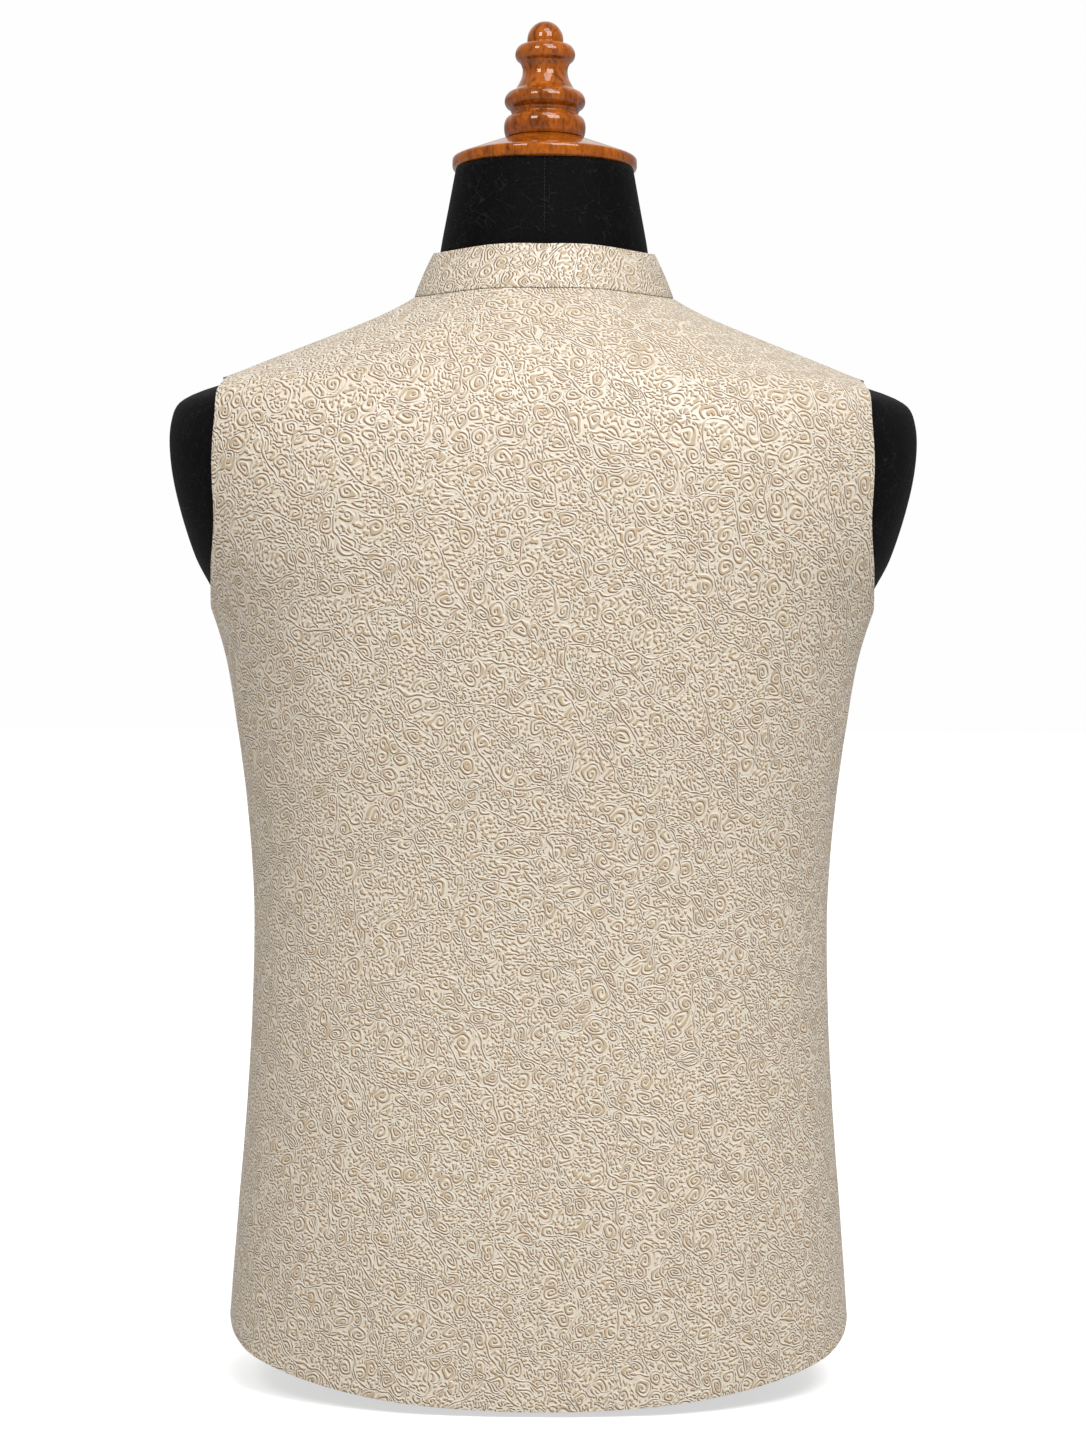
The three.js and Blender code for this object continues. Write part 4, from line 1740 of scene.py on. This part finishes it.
    def _collar(self) -> ClothPiece:
        """The band collar, from its left end round the back to its right end.

        Returns:
            The collar.
        """
        draft = self.draft
        middle_z = draft.neckline_z(np.array([math.pi]))
        end = draft.front_turn(np.array([self.collar_split / 2]), middle_z)[0]
        half = np.linspace(0, 1, self.collar_columns + 1) * end
        turn = np.concatenate([-half[:0:-1], half])
        base = CLOTH.point(turn, draft.neckline_z(np.abs(turn)))
        base[:, 2] += self.collar_gap
        depth = np.where(base[:, 1] < 0, draft.neck_back, draft.neck_front)
        outward = np.stack([base[:, 0] / draft.neck_half_width**2, base[:, 1] / depth**2,
                            np.zeros(len(turn))], -1)
        outward /= np.linalg.norm(outward, axis=-1, keepdims=True)
        lean_back, lean_side, lean_front = self.collar_lean
        lean_end = np.where(base[:, 1] < 0, lean_back, lean_front)
        lean = np.radians(lean_side + (lean_end - lean_side) * np.cos(turn) ** 2)[:, None]
        upward = np.array([0.0, 0.0, 1.0])
        up = upward * np.cos(lean) - outward * np.sin(lean)
        normal = outward * np.cos(lean) + upward * np.sin(lean)
        corner_x, corner_z = self.collar_corner
        from_end = np.minimum(1, np.abs(base[:, 0]) / corner_x)
        cut = np.where(base[:, 1] > 0, 1 - np.sqrt(1 - (1 - from_end) ** 2), 0)
        tall = self.collar_height - corner_z * cut
        climb = np.linspace(0, 1, self.collar_rows + 1)[:, None, None]
        swell = self.collar_swell * np.sin(math.pi * climb) ** 0.8
        outer = base + up * tall[:, None] * climb + normal * swell
        normals = np.broadcast_to(normal, outer.shape)
        return ClothPiece("collar", outer, normals, draft.wall, self.collar_lay,
                          bottom=Edge.NECK_SEAM, top=Edge.FOLDED, strip=True)


@dataclass
class FrontFastening:
    """The covered buttons and their buttonholes down the centre front."""

    draft: WaistcoatDraft
    brocade: bpy.types.Material
    thread: bpy.types.Material
    radius: float = 9.0
    rise: float = 3.9
    lift: float = 0.4
    count: int = 5
    top_z: float = 612
    bottom_z: float = 196
    hole_reach: tuple[float, float] = (-20.0, 3.0)
    hole_half: float = 1.1
    hole_lift: float = 0.1
    hole_points: int = 24
    segments: int = 40
    dome_steps: int = 14
    dome_share: float = 0.58
    dome_round: tuple[float, float] = (0.9, 0.75)
    tuck: tuple[tuple[float, float], ...] = (
        (0.985, 0.3), (0.93, 0.16), (0.8, 0.05), (0.6, 0.0), (0.0, 0.0),
    )
    cloth_stretch: float = 1.15
    cloth_lay: tuple[float, float] = (4.2, 0.03)

    def build(self) -> None:
        """Builds each button over its solid, and the buttonholes' stitches."""
        heights = np.linspace(self.top_z, self.bottom_z, self.count)
        for number, z in enumerate(heights, 1):
            rest(self._button(number, float(z)), "brocade", f"button_{number}")
        row = StitchRow(StitchLay.ACROSS, pitch=0.6 * MM, length=2.3 * MM, radius=0.28 * MM)
        lines = [self._hole(float(z)) for z in heights]
        rest(row.sew("buttonhole_stitches", lines, self.thread), "brocade")

    def _seat(self, z: float) -> tuple[np.ndarray, np.ndarray]:
        """Where a button sits on the cloth, and the direction off it.

        Args:
            z: The button's height.

        Returns:
            The point and the direction.
        """
        turn = np.array([math.pi])
        height = np.array([z])
        normal = CLOTH.normal(turn, height)[0]
        return CLOTH.point(turn, height)[0] + normal * self.draft.relief(turn, height)[0], normal

    def _button(self, number: int, z: float) -> bpy.types.Object:
        """A domed button covered in the brocade.

        Args:
            number: The button's number, from the top.
            z: Its height.

        Returns:
            The button.
        """
        share, (across, up) = self.dome_share, self.dome_round
        dome = [(math.sin(a) ** across, 1 - share + share * math.cos(a) ** up)
                for a in np.linspace(0, QUARTER_TURN, self.dome_steps + 1)]
        profile = [(self.radius * r, self.rise * h) for r, h in [*dome, *self.tuck]]
        points, faces = turned(profile, self.segments)
        seat, normal = self._seat(z)
        piece = mesh_object(f"button_{number}_cover", points, faces)
        layer = piece.data.uv_layers.new(name=CUT_MAP)
        first, apart = self.cloth_lay
        for loop, spot in zip(piece.data.loops, layer.data):
            co = piece.data.vertices[loop.vertex_index].co * self.cloth_stretch
            spot.uv = (co.x + first + apart * number, co.y)
        stand = Vector((0, 0, 1)).rotation_difference(Vector(normal)).to_matrix().to_4x4()
        place = Matrix.Translation(Vector((seat + normal * self.lift) * MM))
        piece.data.transform(place @ stand)
        piece.data.materials.append(self.brocade)
        return piece

    def _hole(self, z: float) -> tuple[np.ndarray, np.ndarray]:
        """The line that a buttonhole's stitches follow.

        Args:
            z: The button's height.

        Returns:
            The line's points and the directions off the cloth.
        """
        left, right = self.hole_reach
        bend = np.linspace(-QUARTER_TURN, QUARTER_TURN, 7)
        along = np.linspace(left, right, self.hole_points)
        xs = np.concatenate([along, right + self.hole_half * np.cos(bend),
                             along[::-1], left - self.hole_half * np.cos(bend)])
        side = np.ones(self.hole_points)
        heights = z + np.concatenate([-side, np.sin(bend), side, -np.sin(bend)]) * self.hole_half
        turn = self.draft.front_turn(xs, heights)
        normal = CLOTH.normal(turn, heights)
        lift = self.draft.relief(turn, heights)[:, None] + self.hole_lift
        return CLOTH.point(turn, heights) + normal * lift, normal


# The form


def turned(profile: Sequence[tuple[float, float]], segments: int) -> tuple[np.ndarray, list]:
    """Turns a profile about Z.

    Args:
        profile: Radius and height from the axis on top, outwards and down to the axis.
        segments: How many steps make a full turn.

    Returns:
        The points and the faces of the closed body.
    """
    rings = [(r, z) for r, z in profile if r > 1e-9]
    angle = np.linspace(0, 2 * math.pi, segments, endpoint=False)
    points = [np.stack([r * np.cos(angle), r * np.sin(angle), np.full(segments, z)], -1)
              for r, z in rings]
    flat = np.concatenate([*points, [[0, 0, profile[0][1]], [0, 0, profile[-1][1]]]])
    faces = [face[::-1] for face in grid_faces(len(rings), segments, closed=True)]
    top = len(rings) * segments
    last = (len(rings) - 1) * segments
    for i in range(segments):
        after = (i + 1) % segments
        faces.append((top, i, after))
        faces.append((top + 1, last + after, last + i))
    return flat, faces


@dataclass
class DressForm:
    """The limbless form, its neck, its foot and the seam down its back."""

    jersey: bpy.types.Material
    thread: bpy.types.Material
    bottom_z: float = 60
    shoulder_z: float = 646
    lap_room: float = 3
    around: int = 128
    low_rows: tuple[float, ...] = (60.6, 61.8, 64, 68, 74)
    trunk_rows: tuple[float, float, float] = (84, 440, 9.5)
    shoulder_rows: tuple[float, int] = (445, 74)
    neck_root_rows: tuple[float, float, int] = (648.6, 680, 18)
    neck_rows: tuple[float, float, int] = (683, 751.2, 22)
    seam_rows: tuple[float, float, int] = (704, 750, 30)
    foot_half_width: float = 112
    foot_half_depth: float = 74
    foot_round: float = 3
    foot_gap: float = 0.3
    foot_segments: int = 96
    foot_steps: int = 4
    inset_rows: tuple[tuple[float, float], ...] = (
        (60, 18), (64, 12.5), (74, 10.5), (105, 10), (170, 9.7), (235, 9.7), (295, 9.7),
        (355, 9.7), (405, 9.5), (445, 8.5), (465, 6.8), (482, 5.6), (500, 4.9), (524, 4.6),
        (548, 4.3), (568, 4), (585, 4.3), (597, 4.8), (605, 5), (611, 4.9), (616, 4.4),
        (620, 3.7), (626, 3), (632, 2.7), (639, 2.9), (646, 3.3),
    )

    def build(self) -> None:
        """Builds the covered form, its foot and the stitches of its back seam."""
        rest(self._torso(), "jersey", "dress_form")
        rest(self._foot(), "jersey", "form_foot")
        row = StitchRow(StitchLay.ALONG, pitch=2.4 * MM, length=2.1 * MM, radius=0.16 * MM)
        rest(row.sew("neck_seam_stitches", self._seam_lines(), self.thread), "jersey")

    def _body_ring(self, z: float, turn: np.ndarray) -> np.ndarray:
        """A ring of the torso, set in from the cloth.

        Args:
            z: The ring's height.
            turn: The turns of its points.

        Returns:
            The ring's points.
        """
        heights = np.array([row[0] for row in self.inset_rows])
        insets = np.array([row[1] for row in self.inset_rows])
        inset = through(heights, insets, np.array(z))
        room = self.lap_room * np.maximum(0, -np.cos(turn)) ** 6
        level = np.full(turn.shape, z)
        ring = CLOTH.point(turn, level) - CLOTH.normal(turn, level) * (inset + room)[:, None]
        if z < WaistcoatDraft.underarm_z:
            ring[:, 2] = z
        return ring

    def _torso(self) -> bpy.types.Object:
        """The torso and neck as one smooth closed skin.

        Returns:
            The piece.
        """
        turn = np.linspace(0, 2 * math.pi, self.around, endpoint=False)
        low = [self.bottom_z, *self.low_rows, *np.arange(*self.trunk_rows)]
        first, count = self.shoulder_rows
        shoulders = np.linspace(first, self.shoulder_z, count)
        rings = [self._body_ring(float(z), turn) for z in [*low, *shoulders]]
        necks = [*np.linspace(*self.neck_root_rows), *np.linspace(*self.neck_rows)]
        rings += [NECK.point(turn, np.full(turn.shape, z)) for z in necks]
        ends = [rings[0].mean(0), rings[-1].mean(0)]
        points = np.concatenate([*rings, ends])
        faces = grid_faces(len(rings), self.around, closed=True)
        middle = len(points) - 2
        last = (len(rings) - 1) * self.around
        for i in range(self.around):
            after = (i + 1) % self.around
            faces.append((middle, after, i))
            faces.append((middle + 1, last + i, last + after))
        piece = mesh_object("form_cover", points, faces)
        piece.data.materials.append(self.jersey)
        return piece

    def _foot(self) -> bpy.types.Object:
        """The oval foot, with its edges eased.

        Returns:
            The piece.
        """
        top, easing = self.bottom_z - self.foot_gap, self.foot_round
        side = [(1 - easing * (1 - math.sin(a)) / 100, top - easing * (1 - math.cos(a)))
                for a in np.linspace(0, QUARTER_TURN, self.foot_steps + 1)]
        low = [(share, top - z) for share, z in side[::-1]]
        profile = [(0.0, top), (0.5, top), *side, (1.0, top / 2), *low, (0.5, 0.0), (0.0, 0.0)]
        points, faces = turned(profile, self.foot_segments)
        points[:, :2] *= (self.foot_half_width, self.foot_half_depth)
        piece = mesh_object("foot_cover", points, faces)
        piece.data.materials.append(self.jersey)
        return piece

    def _seam_lines(self) -> list[tuple[np.ndarray, np.ndarray]]:
        """The row of stitches down the seam at the back of the neck.

        Returns:
            The row's points and the directions off the jersey, as the only line.
        """
        z = np.linspace(*self.seam_rows)
        turn = np.zeros(z.shape)
        normal = NECK.normal(turn, z)
        return [(NECK.point(turn, z), normal)]


def smoothed(corners: Sequence[tuple[float, float]], step: float) -> list[tuple[float, float]]:
    """Runs a smooth curve through points.

    Args:
        corners: The points.
        step: The most that two points of the curve may lie apart.

    Returns:
        The curve's points, both ends included.
    """
    knots = np.array([corners[0], *corners, corners[-1]], float)
    curve = []
    for before, start, end, after in zip(knots, knots[1:], knots[2:], knots[3:]):
        steps = max(2, math.ceil(np.linalg.norm(end - start) / step))
        for t in np.arange(steps) / steps:
            slope_in, slope_out = (end - before) / 2, (after - start) / 2
            curve.append(tuple(start + (end - start) * t * t * (3 - 2 * t)
                               + slope_in * t * (1 - t) ** 2 - slope_out * t * t * (1 - t)))
    return [*curve, tuple(knots[-1])]


@dataclass
class NeckFinial:
    """The turned neck cap and the finial on it, each profile in runs between its arrises."""

    wood: bpy.types.Material
    axis_y: float = 7.5
    segments: int = 96
    step: float = 0.7
    cap: tuple[tuple[tuple[float, float], ...], ...] = (
        ((0, 772), (24, 772)),
        ((24, 772), (35, 768), (46, 763.9), (53, 761.3), (55.8, 760.2)),
        ((55.8, 760.2), (57.2, 759.4), (57.8, 758), (57.8, 754), (57, 752.3), (55.2, 751.5)),
        ((55.2, 751.5), (30, 751.5)), ((30, 751.5), (0, 751.5)),
    )
    finial: tuple[tuple[tuple[float, float], ...], ...] = (
        ((0, 845.6), (3.2, 845.2), (6.4, 843.6), (9, 841), (10.7, 837.8), (11.3, 834.4),
         (11.3, 831.6)),
        ((11.3, 831.6), (13.4, 831.2), (16.4, 829.9), (18.2, 827.6), (18.8, 825.2),
         (18.6, 823.2), (17.6, 821.2), (15.8, 819.8)),
        ((15.8, 819.8), (14.5, 817), (14.1, 813.8), (14.8, 810), (16.6, 806.2), (18.4, 803)),
        ((18.4, 803), (20, 801.9), (22.8, 800.6), (24.6, 798.4), (25.3, 796), (25.1, 793.6),
         (23.8, 791.4), (21.4, 789.8)),
        ((21.4, 789.8), (21.3, 788.6), (20.6, 787.6), (21, 786.3)),
        ((21, 786.3), (22.2, 786), (24.2, 784.4), (25.3, 781.8), (25.6, 778.8), (25.2, 775.2),
         (24.2, 772.3)),
        ((24.2, 772.3), (10, 772.3)), ((10, 772.3), (0, 772.3)),
    )

    def build(self) -> None:
        """Turns the cap and the finial."""
        for name, runs, node in (("neck_cap_turned", self.cap, "neck_cap"),
                                 ("finial_turned", self.finial, "finial")):
            rest(self._turn(name, runs), "lacquered_wood", node)

    def _turn(self, name: str, runs: Sequence[Sequence[tuple[float, float]]]) -> bpy.types.Object:
        """Turns one piece.

        Args:
            name: The piece's name.
            runs: Its profile's runs, from the top down.

        Returns:
            The piece.
        """
        profile = [spot for run in runs for spot in smoothed(run, self.step)[:-1]]
        points, faces = turned([*profile, runs[-1][-1]], self.segments)
        points[:, 1] += self.axis_y
        piece = mesh_object(name, points, faces)
        piece.data.materials.append(self.wood)
        return piece


# The studio


@dataclass(frozen=True)
class AreaLamp:
    """One soft lamp, in metres and watts."""

    name: str
    place: tuple[float, float, float]
    aim: tuple[float, float, float]
    size: tuple[float, float]
    power: float

    def hang(self) -> None:
        """Hangs the lamp and aims it."""
        data = bpy.data.lights.new(self.name, "AREA")
        data.shape = "RECTANGLE"
        data.size, data.size_y = self.size
        data.energy = self.power
        lamp = bpy.data.objects.new(self.name, data)
        lamp.location = self.place
        beam = Vector(self.aim) - Vector(self.place)
        lamp.rotation_euler = beam.to_track_quat("-Z", "Y").to_euler()
        bpy.context.scene.collection.objects.link(lamp)


@dataclass(frozen=True)
class BroadLight:
    """A broad soft light far away, the same all over."""

    name: str
    height: float
    aside: float
    spread: float
    power: float

    def hang(self) -> None:
        """Hangs the light, turned from behind the camera by its angle aside."""
        data = bpy.data.lights.new(self.name, "SUN")
        data.energy = self.power
        data.angle = self.spread
        lamp = bpy.data.objects.new(self.name, data)
        flat = math.cos(self.height)
        across, back = flat * math.sin(self.aside), flat * math.cos(self.aside)
        toward = Vector((across, -back, math.sin(self.height)))
        lamp.rotation_euler = toward.to_track_quat("Z", "Y").to_euler()
        bpy.context.scene.collection.objects.link(lamp)


@dataclass
class Studio:
    """The floor, lamps and camera, in metres."""

    distance: float = 1.95
    eye_height: float = 0.405
    aside: float = 0.0008
    roll: float = math.radians(0.3)
    focal_pixels: float = 3120
    frame_height_pixels: float = 1448
    sensor: float = 36
    floor_size: float = 400
    lamps: tuple[AreaLamp | BroadLight, ...] = (
        AreaLamp("window_right", (0.78, -1.5, 1.85), (0.0, 0.0, 0.58), (1.1, 0.7), 23),
        AreaLamp("window_left", (-0.95, -1.5, 1.8), (0.0, 0.0, 0.62), (0.6, 0.55), 14),
        BroadLight("key", math.radians(54), math.radians(17), math.radians(32), 1.38),
    )
    backdrop: float = 0.99
    room: tuple[float, float] = (0.31, 0.46)
    room_rise: tuple[float, float] = (0.05, 0.7)
    front_light: float = 0.55
    front_reach: tuple[float, float] = (0.15, 0.6)
    front_rise: tuple[float, float] = (0.12, 0.42)
    warmth: tuple[float, float, float] = (1.0, 0.975, 0.94)

    def build(self) -> None:
        """Builds the studio."""
        bpy.context.scene.view_settings.view_transform = "Standard"
        self._floor()
        self._world()
        for lamp in self.lamps:
            lamp.hang()
        self._camera()

    def _floor(self) -> None:
        """A wide pale floor."""
        half = self.floor_size / 2 / MM
        corners = [(-half, -half, 0), (half, -half, 0), (half, half, 0), (-half, half, 0)]
        floor = mesh_object("floor", np.array(corners, float), [(0, 1, 2, 3)])
        floor.data.materials.append(StudioFloorFinish().material())

    def _world(self) -> None:
        """A white backdrop for the camera, and a dimmer warm room that lights the part."""
        world = bpy.data.worlds.new("studio")
        world.use_nodes = True
        tree = world.node_tree
        seen = camera_ray(tree)
        background = tree.nodes["Background"]
        sky = Field(tree, tree.nodes.new("ShaderNodeTexCoord").outputs["Generated"])
        _, front, up = sky.parts()
        low, high = self.room
        room = up.ramp(*self.room_rise) * (high - low) + low
        room = room + front.ramp(*self.front_reach) * up.ramp(*self.front_rise) * self.front_light
        (seen * self.backdrop + seen.inverse() * room).into(background.inputs["Strength"])
        seen.mixed((*self.warmth, 1.0), (1.0, 1.0, 1.0, 1.0)).into(background.inputs["Color"])
        bpy.context.scene.world = world

    def _camera(self) -> None:
        """The camera at the photograph's angle, level with the waist."""
        data = bpy.data.cameras.new("camera")
        data.sensor_fit = "VERTICAL"
        data.sensor_height = self.sensor
        data.lens = self.focal_pixels / self.frame_height_pixels * self.sensor
        camera = bpy.data.objects.new("camera", data)
        level = Matrix.Rotation(QUARTER_TURN, 4, "X")
        roll = Matrix.Rotation(self.roll, 4, "Z")
        place = Matrix.Translation((self.aside, -self.distance, self.eye_height))
        camera.matrix_world = place @ level @ roll
        bpy.context.scene.collection.objects.link(camera)
        bpy.context.scene.camera = camera


def write_sizes() -> None:
    """Updates the view layer.
    """
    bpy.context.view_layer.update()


def main() -> None:
    """Builds the part's looks piece by piece."""
    logging.basicConfig(level=logging.INFO, format="%(name)s: %(message)s")
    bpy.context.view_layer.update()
    brocade = BrocadeFinish().material()
    jersey = JerseyFinish().material()
    Studio().build()
    draft = WaistcoatDraft()
    # Tan thread for the collar seam, darkened so that its stitches also paint the shade of the
    # seam's groove.
    tan = ThreadFinish("tan thread", (106, 84, 58), (70, 54, 36)).material()
    Waistcoat(draft, brocade, ReverseFinish().material(), tan).build()
    cream = ThreadFinish("cream thread", (236, 228, 212), (206, 192, 166)).material()
    FrontFastening(draft, brocade, cream).build()
    black = ThreadFinish("black thread", (20, 20, 21), (10, 10, 11)).material()
    DressForm(jersey, black).build()
    NeckFinial(LacqueredWoodFinish().material()).build()
    write_sizes()


if __name__ == "__main__":
    main()
